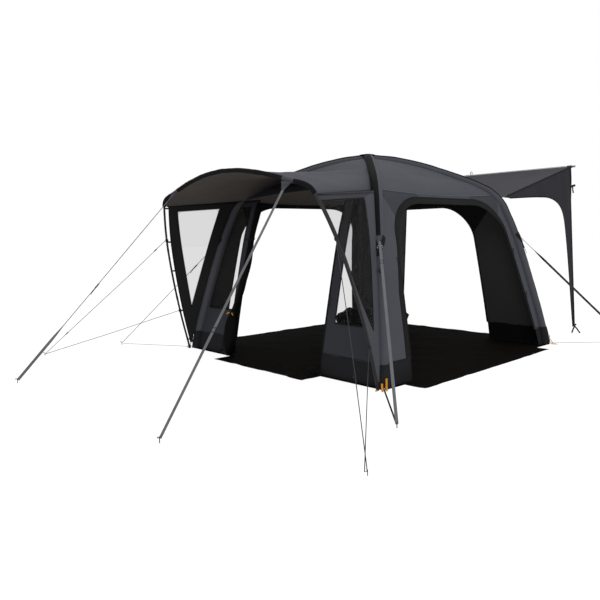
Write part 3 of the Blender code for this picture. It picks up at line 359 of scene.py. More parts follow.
class Piece:
    """Points, faces and finishes of one object."""

    def __init__(self, name, *looks):
        self.name, self.looks = name, looks
        self.points, self.faces, self.slots, self.uv, self.edge = [], [], [], [], []

    def put(self, points, uv=None, edge=None):
        start = len(self.points)
        points = np.asarray(points, float).reshape(-1, 3)
        self.points.extend(map(tuple, points))
        self.uv.extend(map(tuple, np.zeros((len(points), 2)) if uv is None else np.reshape(uv, (-1, 2))))
        self.edge.extend(np.ones(len(points)) if edge is None else np.ravel(edge))
        return start

    def face(self, corners, slot=0):
        self.faces.append(tuple(corners))
        self.slots.append(slot)

    def wrap(self, start, rings, count, slot):
        """Faces round the rings of points from start on, and over both ends."""
        pick = slot if callable(slot) else (lambda i, k: slot)
        for i in range(rings - 1):
            for k in range(count):
                j = (k + 1) % count
                a = start + i * count
                self.face((a + k, a + j, a + count + j, a + count + k), pick(i, k))
        end = start + (rings - 1) * count
        self.face(range(start, start + count)[::-1], pick(0, 0))
        self.face(range(end, end + count), pick(rings - 2, 0))

    def layers(self, grid, thick=SKIN_T, closed=False, away=ROOM, slots=(0, 1, 0), ripple=None,
               slots_of=None):
        """A cloth over a grid of points, with an outer and an inner layer and a turned rim."""
        grid = np.asarray(grid, float)
        n, m = grid.shape[:2]
        run_u, run_v, edge = measures(grid, closed)
        if ripple is not None:
            grid = grid + normals(grid, closed) * ripple(grid, edge)[..., None]
        facing = outward(normals(grid, closed), grid, away)
        uv = np.stack([run_u, run_v], axis=-1)
        outer = self.put(grid + facing * thick / 2, uv, edge)
        inner = self.put(grid - facing * thick / 2, uv, edge)

        def at(i, j):
            return (i % n) * m + j

        last = n if closed else n - 1
        for i in range(last):
            for j in range(m - 1):
                quad = (at(i, j), at(i + 1, j), at(i + 1, j + 1), at(i, j + 1))
                here = slots if slots_of is None else slots_of(i)
                self.face([outer + k for k in quad], here[0])
                self.face([inner + k for k in quad[::-1]], here[1])
        rim = [(at(i, j), at(i + 1, j)) for j in (0, m - 1) for i in range(last)]
        if not closed:
            rim += [(at(i, j), at(i, j + 1)) for i in (0, n - 1) for j in range(m - 1)]
        for a, b in rim:
            self.face([outer + a, outer + b, inner + b, inner + a], slots[2])
        return grid

    def tube(self, path, radius, sides=12, slot=0, squash=1.0, across=None):
        """A closed tube along a path; radius is a number or one per point."""
        path = np.asarray(path, float)
        radius = np.broadcast_to(radius, len(path))
        turn = circle(sides)
        rings = []
        side = across
        for i, here in enumerate(path):
            ahead = unit(path[min(i + 1, len(path) - 1)] - path[max(i - 1, 0)])
            if side is None:
                side = np.cross(ahead, UP)
                if np.linalg.norm(side) < 1e-3:
                    side = np.array((1.0, 0, 0))
            side = unit(side - ahead * (side @ ahead))
            up = np.cross(side, ahead)
            rings.append(here + radius[i] * around(turn, side, squash * up))
        u = radius[:, None] * turn
        uv = np.stack([u, np.broadcast_to(run_along(path)[:, None], u.shape)], axis=-1)
        self.wrap(self.put(rings, uv), len(path), sides, slot)

    def band(self, path, facing, width, thick=STRAP_T, slot=0):
        """A flat tape along a path, with its broad side towards facing."""
        path, facing = np.asarray(path, float), unit(np.broadcast_to(facing, np.shape(path)))
        along = unit(np.gradient(path, axis=0))
        wide = unit(np.cross(along, facing))
        facing = np.cross(wide, along)
        width = np.broadcast_to(width, len(path))[:, None]
        lines = [path + wide * width * share + facing * thick * high for share, high in TAPE_SECTION]
        across = width * np.array([share + 0.5 for share, _ in TAPE_SECTION])
        uv = np.stack([across, np.broadcast_to(run_along(path)[:, None], across.shape)], axis=-1)
        start = self.put(np.stack(lines, axis=1), uv, np.minimum(across, width - across))
        self.wrap(start, len(path), len(TAPE_SECTION), slot)

    def turn(self, profile, base, axis, sides=16, slot=0):
        """A turned solid: profile is (distance along axis, radius) from base."""
        axis = unit(axis)
        side = unit(np.cross(axis, (0.31, 0.2, 0.93)))
        round_it = around(circle(sides), side, np.cross(axis, side))
        start = self.put([np.array(base) + axis * h + r * round_it for h, r in profile])
        self.wrap(start, len(profile), sides, slot)

    def ring(self, centre, axis, radius, wire, slot):
        axis = unit(axis)
        side = unit(np.cross(axis, (0.2, 0.3, 0.93)))
        turn = np.linspace(0, TWO_PI, 15)
        self.tube(centre + radius * around(turn, side, np.cross(axis, side)), wire, 8, slot)

    def make(self, sharp):
        mesh = bpy.data.meshes.new(self.name)
        mesh.from_pydata(self.points, [], self.faces)
        for look in self.looks:
            mesh.materials.append(look)
        mesh.polygons.foreach_set("material_index", self.slots)
        layer = mesh.uv_layers.new(name="metres")
        corner = np.zeros(len(mesh.loops), np.int32)
        mesh.loops.foreach_get("vertex_index", corner)
        layer.data.foreach_set("uv", np.array(self.uv, np.float32)[corner].ravel())
        rim = mesh.attributes.new("rim", "FLOAT", "POINT")
        rim.data.foreach_set("value", np.array(self.edge, np.float32))
        mesh.update()
        obj = linked(self.name, mesh)
        mesh.shade_smooth()
        mesh.set_sharp_from_angle(angle=math.radians(sharp))
        return obj


# Materials: waves and spots per metre of cloth, and a hem's width
THREADS, STITCHES, HEM = 140.0, 62.0, 0.020


class Graph:
    """A short way to write a material's nodes."""

    def __init__(self, name, colour, rough, metal=0.0, specular=0.5):
        self.material = bpy.data.materials.new(name)
        self.material.use_nodes = True
        self.tree = self.material.node_tree
        self.shader = self.tree.nodes["Principled BSDF"]
        self.feed(self.shader, {"Roughness": rough, "Metallic": metal, "Specular IOR Level": specular,
                                "Base Color": colour})
        self.material.diffuse_color = (*colour, 1)
        self.space = self.add("ShaderNodeTexCoord").outputs["Object"]
        self.metres = self.add("ShaderNodeUVMap", uv_map="metres").outputs["UV"]

    def add(self, kind, **settings):
        node = self.tree.nodes.new(kind)
        for key, value in settings.items():
            setattr(node, key, value)
        return node

    def feed(self, node, values):
        """Set a node's inputs: each is a number, a colour or another node's output."""
        for key, value in values.items():
            if isinstance(value, (int, float)):
                node.inputs[key].default_value = value
            elif isinstance(value, tuple):
                node.inputs[key].default_value = (*value, 1)
            else:
                self.tree.links.new(value, node.inputs[key])
        return node

    def noise(self, scale, detail=3.0, rough=0.5):
        node = self.add("ShaderNodeTexNoise")
        self.feed(node, {"Scale": scale, "Detail": detail, "Roughness": rough, "Vector": self.space})
        return node.outputs["Fac"]

    def wave(self, scale, direction):
        node = self.add("ShaderNodeTexWave", bands_direction=direction)
        return self.feed(node, {"Scale": scale, "Vector": self.metres}).outputs["Fac"]

    def math(self, kind, *values):
        return self.feed(self.add("ShaderNodeMath", operation=kind), dict(enumerate(values))).outputs[0]

    def plus(self, a, b):
        return self.math("ADD", a, b)

    def times(self, a, b):
        return self.math("MULTIPLY", a, b)

    def between(self, value, low, high, out_low=0.0, out_high=1.0):
        node = self.add("ShaderNodeMapRange")
        self.feed(node, {"Value": value, "From Min": low, "From Max": high,
                         "To Min": out_low, "To Max": out_high})
        return node.outputs["Result"]

    def mix(self, share, a, b):
        return self.feed(self.add("ShaderNodeMix", data_type="RGBA"), {0: share, 6: a, 7: b}).outputs[2]

    def rim(self, width):
        """1 nearer than width to a cloth's border, 0 elsewhere."""
        return self.math("LESS_THAN", self.edge(), width)

    def edge(self):
        return self.add("ShaderNodeAttribute", attribute_name="rim").outputs["Fac"]

    def finish(self, colour, rough, height, strength, distance):
        """Join the colour, the roughness and the bump to the shader."""
        bump = self.add("ShaderNodeBump")
        self.feed(bump, {"Strength": strength, "Distance": distance, "Height": height})
        self.feed(self.shader, {"Base Color": colour, "Roughness": rough, "Normal": bump.outputs["Normal"]})
        return self.material


def scaled(colour, k):
    return tuple(c * k for c in colour)


def woven(name, colour, rough=0.78, vary=0.10, weave=1.0, specular=0.35):
    """Woven tent cloth: threads, faint mottling and a folded hem with two rows of stitches."""
    g = Graph(name, colour, rough, specular=specular)
    cloudy, fine = g.noise(1.6, 4.0, 0.55), g.noise(38.0, 2.0, 0.6)
    share = g.plus(g.times(cloudy, 0.7), g.times(fine, 0.3))
    base = g.mix(g.between(share, 0.32, 0.68), scaled(colour, 1 - vary), scaled(colour, 1 + vary))
    thread = g.math("MAXIMUM", g.wave(THREADS / weave, "X"), g.wave(THREADS / weave, "Y"))
    base = g.mix(g.times(thread, 0.16), base, scaled(colour, 1.45))
    folded = g.rim(HEM)
    row = g.plus(*(g.math("COMPARE", g.edge(), HEM * place, 0.0009) for place in (0.22, 0.82)))
    dash = g.math("GREATER_THAN", g.plus(g.wave(STITCHES, "X"), g.wave(STITCHES, "Y")), 0.75)
    sewn = g.math("MINIMUM", g.times(row, dash), 1.0)
    base = g.mix(g.times(folded, 0.30), base, scaled(colour, 0.72))
    base = g.mix(g.times(sewn, 0.55), base, scaled(colour, 0.35))
    height = g.plus(g.times(thread, 0.35), g.times(g.noise(16.0, 3.0), 1.2))
    height = g.math("SUBTRACT", g.plus(height, g.times(folded, 0.9)), g.times(sewn, 0.8))
    rough = g.between(fine, 0.3, 0.7, rough - 0.06, min(rough + 0.08, 1.0))
    return g.finish(base, rough, height, 0.35, 0.0012)


def webbing(name, colour, rib=420.0, rough=0.72):
    g = Graph(name, colour, rough, specular=0.08)
    ribs = g.wave(rib, "Y")
    cloudy = g.noise(7.0, 3.0)
    base = g.mix(g.between(cloudy, 0.35, 0.65), scaled(colour, 0.86), scaled(colour, 1.12))
    base = g.mix(g.times(ribs, 0.30), base, scaled(colour, 1.5))
    base = g.mix(g.times(g.rim(0.0022), 0.5), base, scaled(colour, 0.6))
    height = g.plus(ribs, g.times(g.wave(rib * 0.8, "X"), 0.5))
    return g.finish(base, g.between(cloudy, 0.3, 0.7, rough - 0.07, rough + 0.08), height, 0.5, 0.0006)


def moulded(name, colour, rough=0.42):
    """Moulded plastic with a fine grain and paler, rubbed places."""
    g = Graph(name, colour, rough, specular=0.12)
    grain, rubbed = g.noise(900.0, 2.0), g.noise(26.0, 4.0)
    base = g.mix(g.between(rubbed, 0.45, 0.75), scaled(colour, 0.92), scaled(colour, 1.35))
    return g.finish(base, g.between(grain, 0.3, 0.7, rough - 0.06, rough + 0.10), grain, 0.25, 0.0003)


def tubing(name, colour, rough, metal):
    """Drawn metal tube, with streaks along it and small scuffs."""
    g = Graph(name, colour, rough, metal, specular=0.2)
    streaks, scuff = g.wave(90.0, "X"), g.noise(60.0, 5.0, 0.65)
    base = g.mix(g.times(streaks, 0.10), colour, scaled(colour, 1.7))
    base = g.mix(g.between(scuff, 0.66, 0.74), base, scaled(colour, 2.2))
    rough = g.between(scuff, 0.3, 0.8, rough - 0.05, rough + 0.14)
    return g.finish(base, rough, g.plus(streaks, scuff), 0.12, 0.0003)


def film(name, colour, alpha):
    """Clear window film: faint waves, a smoky tone and a welded border."""
    g = Graph(name, colour, 0.42, specular=0.03)
    cloudy = g.noise(3.0, 3.0)
    g.feed(g.shader, {"Alpha": g.between(g.rim(0.012), 0.0, 1.0, alpha, min(alpha + 0.2, 1.0))})
    base = g.mix(g.between(cloudy, 0.3, 0.7), scaled(colour, 0.93), scaled(colour, 1.07))
    return g.finish(base, g.between(cloudy, 0.3, 0.7, 0.38, 0.50), g.noise(5.0, 2.0), 0.20, 0.004)


SLATE = woven("slate_outside", (0.0420, 0.0432, 0.0510), specular=0.08)
# Slate darkened as painted shade, for the front panels in the canopy's shadow
SLATE_SHADE = woven("slate_painted_shade", (0.0240, 0.0248, 0.0292), specular=0.05)
# Slate darkened as painted shade, under the eave on the walls and along the wings' tops
EAVE_SHADE = woven("eave_painted_shade", (0.0300, 0.0308, 0.0362), specular=0.05)
TUNNEL = woven("tunnel_cloth", (0.0345, 0.0348, 0.0400), specular=0.06)
INSIDE = woven("slate_inside", (0.0240, 0.0236, 0.0232), vary=0.07, specular=0.03)
CEILING = woven("roof_underside", (0.0620, 0.0545, 0.0480), vary=0.07, specular=0.03)
UNDER = woven("canopy_underside", (0.0590, 0.0520, 0.0470), vary=0.06, specular=0.04)
DARK = woven("dark_cloth", (0.0050, 0.0051, 0.0055), vary=0.12, specular=0.04)
WING_INSIDE = woven("wing_underside", (0.0125, 0.0123, 0.0122), vary=0.10, specular=0.03)
MUD = woven("lower_wall_cloth", (0.0105, 0.0107, 0.0118), vary=0.12, specular=0.04)
MUD_INSIDE = woven("lower_wall_inside", (0.0035, 0.0035, 0.0037), vary=0.12, specular=0.02)
GROUND = woven("ground_cloth", (0.0034, 0.0029, 0.0025), rough=0.9, vary=0.16, weave=1.6, specular=0.01)
ROLLED = woven("rolled_cloth", (0.0030, 0.0030, 0.0034), vary=0.15, specular=0.03)
CURTAIN = woven("curtain_cloth", (0.0210, 0.0212, 0.0245), vary=0.08, specular=0.05)
TAPE = webbing("black_tape", (0.0055, 0.0055, 0.0060))
# A pale band along the canopy's front edge: a painted highlight on the curved edge of its underside
RIM_HIGHLIGHT = webbing("canopy_rim_highlight", (0.110, 0.113, 0.125))
# Eave piping: a real tape whose pale tone is partly its own and partly a painted highlight along the eave's
# crease
PIPING_AND_HIGHLIGHT = webbing("eave_piping_highlight", (0.0700, 0.0720, 0.0830), rib=300.0)
WEB = webbing("guy_webbing", (0.110, 0.112, 0.122))
DARK_WEB = webbing("storm_webbing", (0.030, 0.031, 0.035))
FILM = film("window_film", (0.018, 0.018, 0.0175), 0.165)
STEEL = tubing("black_steel", (0.0070, 0.0070, 0.0080), 0.42, 0.0)
BRIGHT = tubing("bright_steel", (0.240, 0.243, 0.250), 0.34, 0.9)
BLACK = moulded("black_plastic", (0.0070, 0.0070, 0.0078))
ORANGE_WEB = webbing("orange_webbing", (0.55, 0.220, 0.016))
RING = tubing("ring_steel", (0.45, 0.45, 0.46), 0.28, 1.0)
CORD = webbing("cord_sheath", (0.028, 0.028, 0.031), rib=900.0)
TUBE = moulded("air_tube_skin", (0.045, 0.046, 0.050), 0.36)


def done(piece, nodes=(), body="tent", sharp=45):
    obj = piece.make(sharp)
    if body:
        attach(obj, body)
    if nodes:
        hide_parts(*nodes)
    return obj


def cloth_done(piece, node, grid, body="tent", closed=False, trim=0.0):
    """Finish a cloth, and work out its even size along both ways and its area."""
    obj = done(piece, [node], body)
    across = np.linalg.norm(np.diff(grid, axis=0), axis=2).sum(axis=0).max()
    along = np.linalg.norm(np.diff(grid, axis=1), axis=2).sum(axis=1).max()
    area = area_of(grid, closed) + trim
    across = max(across, area / along)
    return obj


def blend_cord(obj):
    """Bake a hoop cord's transform into its mesh."""
    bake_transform(obj)


# Cords come first
CORD_D = 0.006


def make_cords():
    for name, points in CORD_ROUTES.items():
        route = smooth_path(points, 71)
        piece = Piece("guy_cord_" + name, CORD)
        piece.tube(route, CORD_D / 2, 10)
        obj = done(piece, ["hoop_cord_" + name], None)
        blend_cord(obj)
        round(float(run_along(route)[-1]), 3)


# Beams, and the two covers that the roof and walls rest on
BEAM_STEPS = 14
BEAM_TOP_HALF = 0.053 / math.sqrt(2)
BEAM_SIDES, COVER_LIFT, PUCKER, PUCKER_LONG = 28, 0.0012, 0.0008, 0.16
BAND_LOW_Z, BAND_TURN = 1.275, math.radians(50)
BAND_CENTRE = {"front_right": math.radians(34), "front_left": 0.0, "back_right": 0.0, "back_left": 0.0}


def corner_way(corner):
    return unit((*CORNERS[corner], 0.0))


def beam_axis(corner, z, half=None):
    sx, sy = CORNERS[corner]
    half = half_at(z) if half is None else half
    return np.stack([sx * half, sy * half, z], axis=-1)


def beam_path(corner, steps=90):
    """A beam's axis, halfway between its smooth curve and the CAD's straight steps."""
    spine = [(half_at(FLOOR_Z), FLOOR_Z)]
    spine += [(half, z) for half, z in BEAM_LINE if z > FLOOR_Z and half > BEAM_TOP_HALF]
    spine.append((BEAM_TOP_HALF, height_at(BEAM_TOP_HALF)))
    even = (smooth_path(spine, steps) + even_path(smooth_path(spine, BEAM_STEPS), steps)) / 2
    return beam_axis(corner, even[:, 1], even[:, 0])


def make_beams():
    for corner, (sx, sy) in CORNERS.items():
        path = beam_path(corner)
        radius = SLEEVE_R + COVER_LIFT + PUCKER * swell(path, 31 + sx + 3 * sy, PUCKER_LONG)
        piece = Piece("beam_cover_" + corner, SLATE, DARK)

        def slot_of(i, k):
            turn = (TWO_PI * (k + 0.5) / BEAM_SIDES + math.pi) % TWO_PI - math.pi
            return int(path[i][2] > BAND_LOW_Z and abs(turn - BAND_CENTRE[corner]) < BAND_TURN)

        piece.tube(path, radius, BEAM_SIDES, slot_of, across=corner_way(corner))
        done(piece, ["beam_sleeve_" + corner], sharp=60)


def on_beam(corner, z, turn, lift=0.0045):
    """A place on a beam's cover, and the way out there: turn is the angle from the corner side."""
    out = corner_way(corner)
    way = out * math.cos(turn) + np.array((out[1], -out[0], 0.0)) * math.sin(turn)
    return beam_axis(corner, z) + way * (SLEEVE_R + lift), way


HUB_R, HUB_HOLE_R, HUB_LIFT, HUB_DROP, HUB_SAG, HUB_AREA = 0.085, 0.004, 0.0016, 0.0032, 0.0015, 0.0226


def make_hub():
    """The patch where the beams cross: a disc that falls a little between the four beams."""
    top = BEAM_PROFILE[-1][1] + SLEEVE_R + HUB_LIFT
    r = np.linspace(HUB_HOLE_R, HUB_R, 11)
    grid = []
    for turn in circle(40):
        drape = (r / HUB_R) ** 2 * (HUB_DROP + HUB_SAG * (1 - math.cos(4 * turn + math.pi)))
        grid.append(np.stack([r * math.cos(turn), r * math.sin(turn), top - drape], axis=1))
    piece = Piece("roof_crossing_patch", DARK, DARK)
    piece.layers(grid, STOUT_T, closed=True)
    obj = done(piece, ["roof_hub_cap"])


# Roof
def roof_grid(side, across=64, up=40):
    grid = []
    for s in np.linspace(-1, 1, across + 1):
        half = lerp(half_at(seam_z(s, side) + SEAM), FACET_TOP_HALF, np.linspace(0, 1, up + 1))
        grid.append(np.stack([s * (half - TUCK), -half, height_at(half)], axis=1))
    return turned(np.array(grid), side)


def roof_ripple(seed):
    def ripple(grid, edge):
        humps = 0.0045 * swell(grid, seed, 0.85) + 0.0022 * crease(grid, seed + 5, 0.38, (1, 1, 0.5))
        return fade(edge, 0.16) * (humps - 0.010 * ramp(edge, 0, 0.45))
    return ripple


def edge_facing(grid):
    """The way up from a cloth, near its first edge."""
    facing = normals(grid)
    return unit(facing[:, 1] * np.sign(np.mean(facing[..., 2])))


def make_roof():
    for k, side in enumerate(SIDES):
        flat = roof_grid(side)
        piece = Piece("roof_skin_" + side, SLATE, CEILING, PIPING_AND_HIGHLIGHT)
        piece.layers(flat, ripple=roof_ripple(40 + k))
        facing = edge_facing(flat)
        # Pale piping along the eave, partly a painted highlight on the crease
        piece.band(flat[:, 0] + facing * 0.0016, facing, *PIPING_TAPE, slot=2)
        cloth_done(piece, "roof_" + side, flat)


# Walls. A doorway's two edges: (distance from the wall's middle at the floor, how much less a metre up)
DOORS = {
    "front": ((DOOR_HALF, 0.0), (DOOR_HALF, 0.0)), "right": ((1.055, 0.080), (1.315, 0.225)),
    "back": ((0.735, 0.053), (0.735, 0.053)), "left": ((1.315, 0.225), (1.055, 0.080)),
}
# An arch's flat half, the height where it starts to bend, and its top
ARCHES = {"right": (0.48, 1.27, 1.672), "left": (0.48, 1.27, 1.672), "back": (0.26, 1.22, 1.645)}
WALL_LOW = MUD_H - 0.012
JAMB_BINDING = {"right": 0.036, "back": 0.022, "left": 0.014}
HEAD_BINDING = {"right": 0.072, "back": 0.030, "left": 0.024}
BINDING_RISE, FLAP_RISE, JAMB_FLAP = (1.30, 1.56), (1.25, 0.80), 0.060
# Shares of the way round a wall: between these its outer face takes painted shade under the eave, and beyond
# the first its inner face takes dark cloth as painted shade under the roof
EAVE_SHADE_FROM, EAVE_SHADE_TO = 0.56, 0.80
WALL_STEPS = 52


def door_edge(side, hand, z):
    start, lean = DOORS[side][hand]
    return start - lean * z


def half_arch(side, hand):
    """One half of a doorway from the bottom up to the middle of its head, as (x, z)."""
    flat, spring, top = ARCHES[side]
    wide = door_edge(side, hand, spring)
    jamb = [(door_edge(side, hand, z), z) for z in np.linspace(WALL_LOW, spring, 24, endpoint=False)]
    bend = [(flat + (wide - flat) * math.cos(a), spring + (top - spring) * math.sin(a))
            for a in np.linspace(0, math.pi / 2, 26)]
    return even_path(jamb + bend + [(0.0, top)], WALL_STEPS)


def wall_frame(side):
    """One half of a wall's outer line from the bottom up to the middle of the eave, as (x, z)."""
    leg = [(half_at(z) - TUCK, z) for z in np.linspace(WALL_LOW, EAVE_Z, 30)]
    head = [(s * (half_at(seam_z(s, side)) - TUCK), seam_z(s, side)) for s in np.linspace(1, 0, 24)[1:]]
    up = int(WALL_STEPS * 0.60)
    return np.concatenate([even_path(leg, up), even_path([leg[-1]] + head, WALL_STEPS - up)[1:]])


def wall_grid(side):
    mirror = np.array((-1.0, 1.0))
    outer, left, right = wall_frame(side), half_arch(side, 0), half_arch(side, 1)
    return spanned(np.concatenate([outer, (outer * mirror)[-2::-1]]),
                   np.concatenate([right, (left * mirror)[-2::-1]]), 9)


def wall_ripple(seed, gain=1.0):
    def ripple(grid, edge):
        humps = 0.0035 * swell(grid, seed, 0.55, (1, 1, 0.45))
        folds = 0.0022 * crease(grid, seed + 3, 0.30, (1, 1, 0.35))
        return fade(edge, 0.10) * gain * (humps + folds)
    return ripple


def arch_binding(inner, side):
    """The middle line of the black binding round a doorway, as (x, z), and its width along it."""
    along = unit(np.gradient(inner, axis=0))
    inward = np.stack([-along[:, 1], along[:, 0]], axis=1)
    if inward[0][0] * inner[0][0] > 0:
        inward = -inward
    width = lerp(JAMB_BINDING[side], HEAD_BINDING[side], ramp(inner[:, 1], *BINDING_RISE))
    flap = ramp(inner[:, 1], *FLAP_RISE) * (inner[:, 0] < 0) * (side == "right") * JAMB_FLAP
    return inner + inward * ((width - flap) / 2 - 0.006 - flap * 0.3)[:, None], width + flap * 0.4


def make_walls():
    for k, side in enumerate(ARCHES):
        xz = wall_grid(side)
        grid = wall_points(xz, side)
        piece = Piece("wall_skin_" + side, SLATE, INSIDE, TAPE, DARK, EAVE_SHADE)

        # Outer faces near the eave corners take painted shade; inner faces of the wall's head take dark
        # cloth, painted shade under the roof
        def slots_of(i):
            share = min(i, len(xz) - 2 - i) / (len(xz) / 2)
            return (4 if EAVE_SHADE_FROM < share < EAVE_SHADE_TO else 0, 3 if share > EAVE_SHADE_FROM else 1)

        piece.layers(grid, ripple=wall_ripple(60 + k), slots_of=slots_of)
        facing = outward(normals(grid)[:, -1], grid[:, -1], ROOM)
        piece.band(grid[:, -1], facing, *JAMB_TAPE, slot=2)
        middle, width = arch_binding(xz[:, -1], side)
        piece.band(wall_points(middle, side), facing, width, BINDING_T, slot=2)
        cloth_done(piece, "wall_" + side, grid,
                   trim=run_along(middle)[-1] * JAMB_BINDING[side])


def make_lower_walls():
    """The black lower wall round each corner, from one doorway to the next."""
    names = list(SIDES)
    for i, corner in enumerate(("front_right", "back_right", "back_left", "front_left")):
        rows = []
        for z in np.linspace(SHEET_T + 0.0012, MUD_H, 10):
            half = half_at(z)
            straight = half - MUD_ROUND
            a, b = door_edge(names[i], 1, z), door_edge(names[(i + 1) % 4], 0, z)
            row = [(x, -half) for x in lerp(a, straight, np.linspace(0, 1, 22)[:-1])]
            row += [(half + MUD_ROUND * math.cos(t), -half + MUD_ROUND * math.sin(t))
                    for t in np.linspace(math.pi, 2.5 * math.pi, 28)]
            row += [(half, y) for y in -lerp(straight, b, np.linspace(0, 1, 22)[1:])]
            rows.append([(x, y, z) for x, y in row])
        grid = turned(np.array(rows), names[i])
        piece = Piece("lower_wall_" + corner, MUD, MUD_INSIDE)
        piece.layers(grid, ripple=rippled(80, 0.0026, 0.16, (1, 1, 0.5), 0.05))
        cloth_done(piece, "mud_wall_" + corner, grid)


# Front panels and their windows
FRONT_FACING = (0, -1, 0.35)
PANE_LAP = 0.004


def ring_grid(hand):
    """Front panel round its window: a closed ring of (x, z)."""
    def outline(low, high, inside, leg):
        up, down = np.linspace(low, high, 44, endpoint=False), np.linspace(high, low, 44, endpoint=False)
        bottom = np.linspace(inside, half_at(low) - leg, 12, endpoint=False)
        top = np.linspace(half_at(high) - leg, inside, 12, endpoint=False)
        return np.array([(x, low) for x in bottom] + [(half_at(z) - leg, z) for z in up]
                        + [(x, high) for x in top] + [(inside, z) for z in down])
    outer = outline(WALL_LOW, FRONT_PANEL_TOP, DOOR_HALF, TUCK)
    return spanned(outer, outline(WINDOW_LOW, WINDOW_HIGH, WINDOW_IN, WINDOW_LEG), 5) * np.array((hand, 1.0))


def make_front():
    for name, hand in HANDS.items():
        xz = ring_grid(hand)
        grid = wall_points(xz, "front")
        # The panel's outer face is the darker slate: painted shade for the canopy's shadow over the panels
        piece = Piece("panel_skin_" + name, SLATE_SHADE, INSIDE, TAPE)
        piece.layers(grid, closed=True, ripple=wall_ripple(70 + hand, 0.8))
        jamb = [(hand * DOOR_HALF, z) for z in np.linspace(WALL_LOW, FRONT_PANEL_TOP, 40)]
        head_end = half_at(FRONT_PANEL_TOP) - TUCK
        head = [(hand * x, FRONT_PANEL_TOP) for x in np.linspace(DOOR_HALF, head_end, 14)]
        for line in (jamb, head):
            piece.band(wall_points(line, "front"), FRONT_FACING, *PANEL_TAPE, slot=2)
        hole = np.concatenate([xz[:, -1], xz[:1, -1]])
        piece.band(wall_points(hole, "front", 0.0016), FRONT_FACING, *PANE_TAPE, slot=2)
        cloth_done(piece, "front_panel_" + name, grid,
                   closed=True)

        pane = []
        for z in np.linspace(WINDOW_LOW - PANE_LAP, WINDOW_HIGH + PANE_LAP, 44):
            row = np.linspace(WINDOW_IN - PANE_LAP, half_at(z) - WINDOW_LEG + PANE_LAP, 12)
            pane.append([(hand * x, z) for x in row])
        pane = wall_points(pane, "front", -0.0012)
        piece = Piece("window_pane_front_" + name, FILM)
        piece.layers(pane, FILM_T, slots=(0, 0, 0), ripple=rippled(75, 0.0035, 0.5, (1, 1, 0.4), 0.12))
        cloth_done(piece, "front_window_" + name, pane)


def make_floor():
    """The groundsheet: the square floor and the flaps that lie outside the doorways."""
    piece = Piece("ground_cloth", GROUND, GROUND)
    spots = np.linspace(-GROUND_HALF, GROUND_HALF, 76)
    patches = [np.array([[(x, y, 0.0) for y in spots] for x in spots])]
    for side, (left, out_left, right, out_right) in FLAPS.items():
        grid = [[(lerp(left, right, t), -GROUND_HALF - lerp(out_left, out_right, t) * v, 0.0)
                 for v in np.linspace(0, 1, 9)] for t in np.linspace(0, 1, 54)]
        patches.append(turned(grid, side))
    for k, flat in enumerate(patches):
        _, out, edge = measures(flat)
        grid = flat.copy()
        grid[..., 2] = 0.0016 + 0.0034 * np.clip(swell(flat, 90 + k, 0.42), 0, 1) * fade(edge, 0.10)
        if k:
            grid[..., 2] += 0.006 * np.clip(swell(flat, 120 + k, 0.30), 0, 1) * ramp(out, 0, 0.2)
        piece.layers(grid, STOUT_T, away=(0, 0, -5.0))
    obj = done(piece, ["groundsheet"], sharp=30)


# Rolled and gathered doors. The front door's roll: (x, z, radius) down its length
ROLL_LINE = (
    (-0.628, 1.672, 0.036), (-0.631, 1.622, 0.039), (-0.640, 1.450, 0.036), (-0.647, 1.290, 0.036),
    (-0.643, 1.037, 0.042), (-0.673, 0.794, 0.043), (-0.715, 0.637, 0.038), (-0.770, 0.500, 0.033),
    (-0.780, 0.440, 0.044), (-0.777, 0.356, 0.068), (-0.769, 0.224, 0.078), (-0.776, 0.134, 0.077),
    (-0.787, 0.060, 0.058), (-0.815, 0.040, 0.040), (-0.870, 0.034, 0.032), (-0.930, 0.030, 0.026),
)
ROLL_SHIFT, ROLL_CORE = 1.10, 0.012
HEAP_IN = half_at(0.25) - 0.185


def roll_axis(x, z, radius):
    return np.stack([x + ROLL_SHIFT * (radius - ROLL_CORE), -half_at(z) - radius, z], axis=-1)


def rolled(name, nodes, path, radii, turns, flat, seed, across=(1.0, 0, 0), extra=None):
    """A door wound loosely into a spiral along a path."""
    along, across = unit(np.gradient(path, axis=0)), np.array(across)
    t = np.linspace(0, 1, 26 * turns)
    grid = []
    for i, here in enumerate(path):
        wide = unit(across - along[i] * (across @ along[i]))
        up = np.cross(wide, along[i])
        turn = TWO_PI * turns * t + 0.6 * math.sin(3.1 * i / len(path) + seed)
        slack = 1 + 0.10 * np.sin(3 * turn + 0.22 * i + seed) * t + 0.05 * np.sin(7 * turn - 0.3 * i)
        r = radii[i] * (0.16 + 0.80 * t) * slack
        grid.append(here + r[:, None] * around(turn, wide, up))
    grid = np.array(grid)
    grid[..., 2] = np.maximum(grid[..., 2], FLOOR_Z + 0.0026)
    piece = Piece(name, ROLLED, ROLLED)
    piece.layers(grid, STOUT_T, away=(0, 0, 0))
    area = area_of(grid)
    if extra is not None:
        piece.layers(extra, STOUT_T)
        area += area_of(extra)
    obj = done(piece, nodes, sharp=60)
    wide, long = flat[0], max(flat[1], round(1.12 * area / flat[0], 2))


def heap_ends(share, reach):
    return np.clip(np.minimum(share, 1 - share) / reach, 0.35, 1)


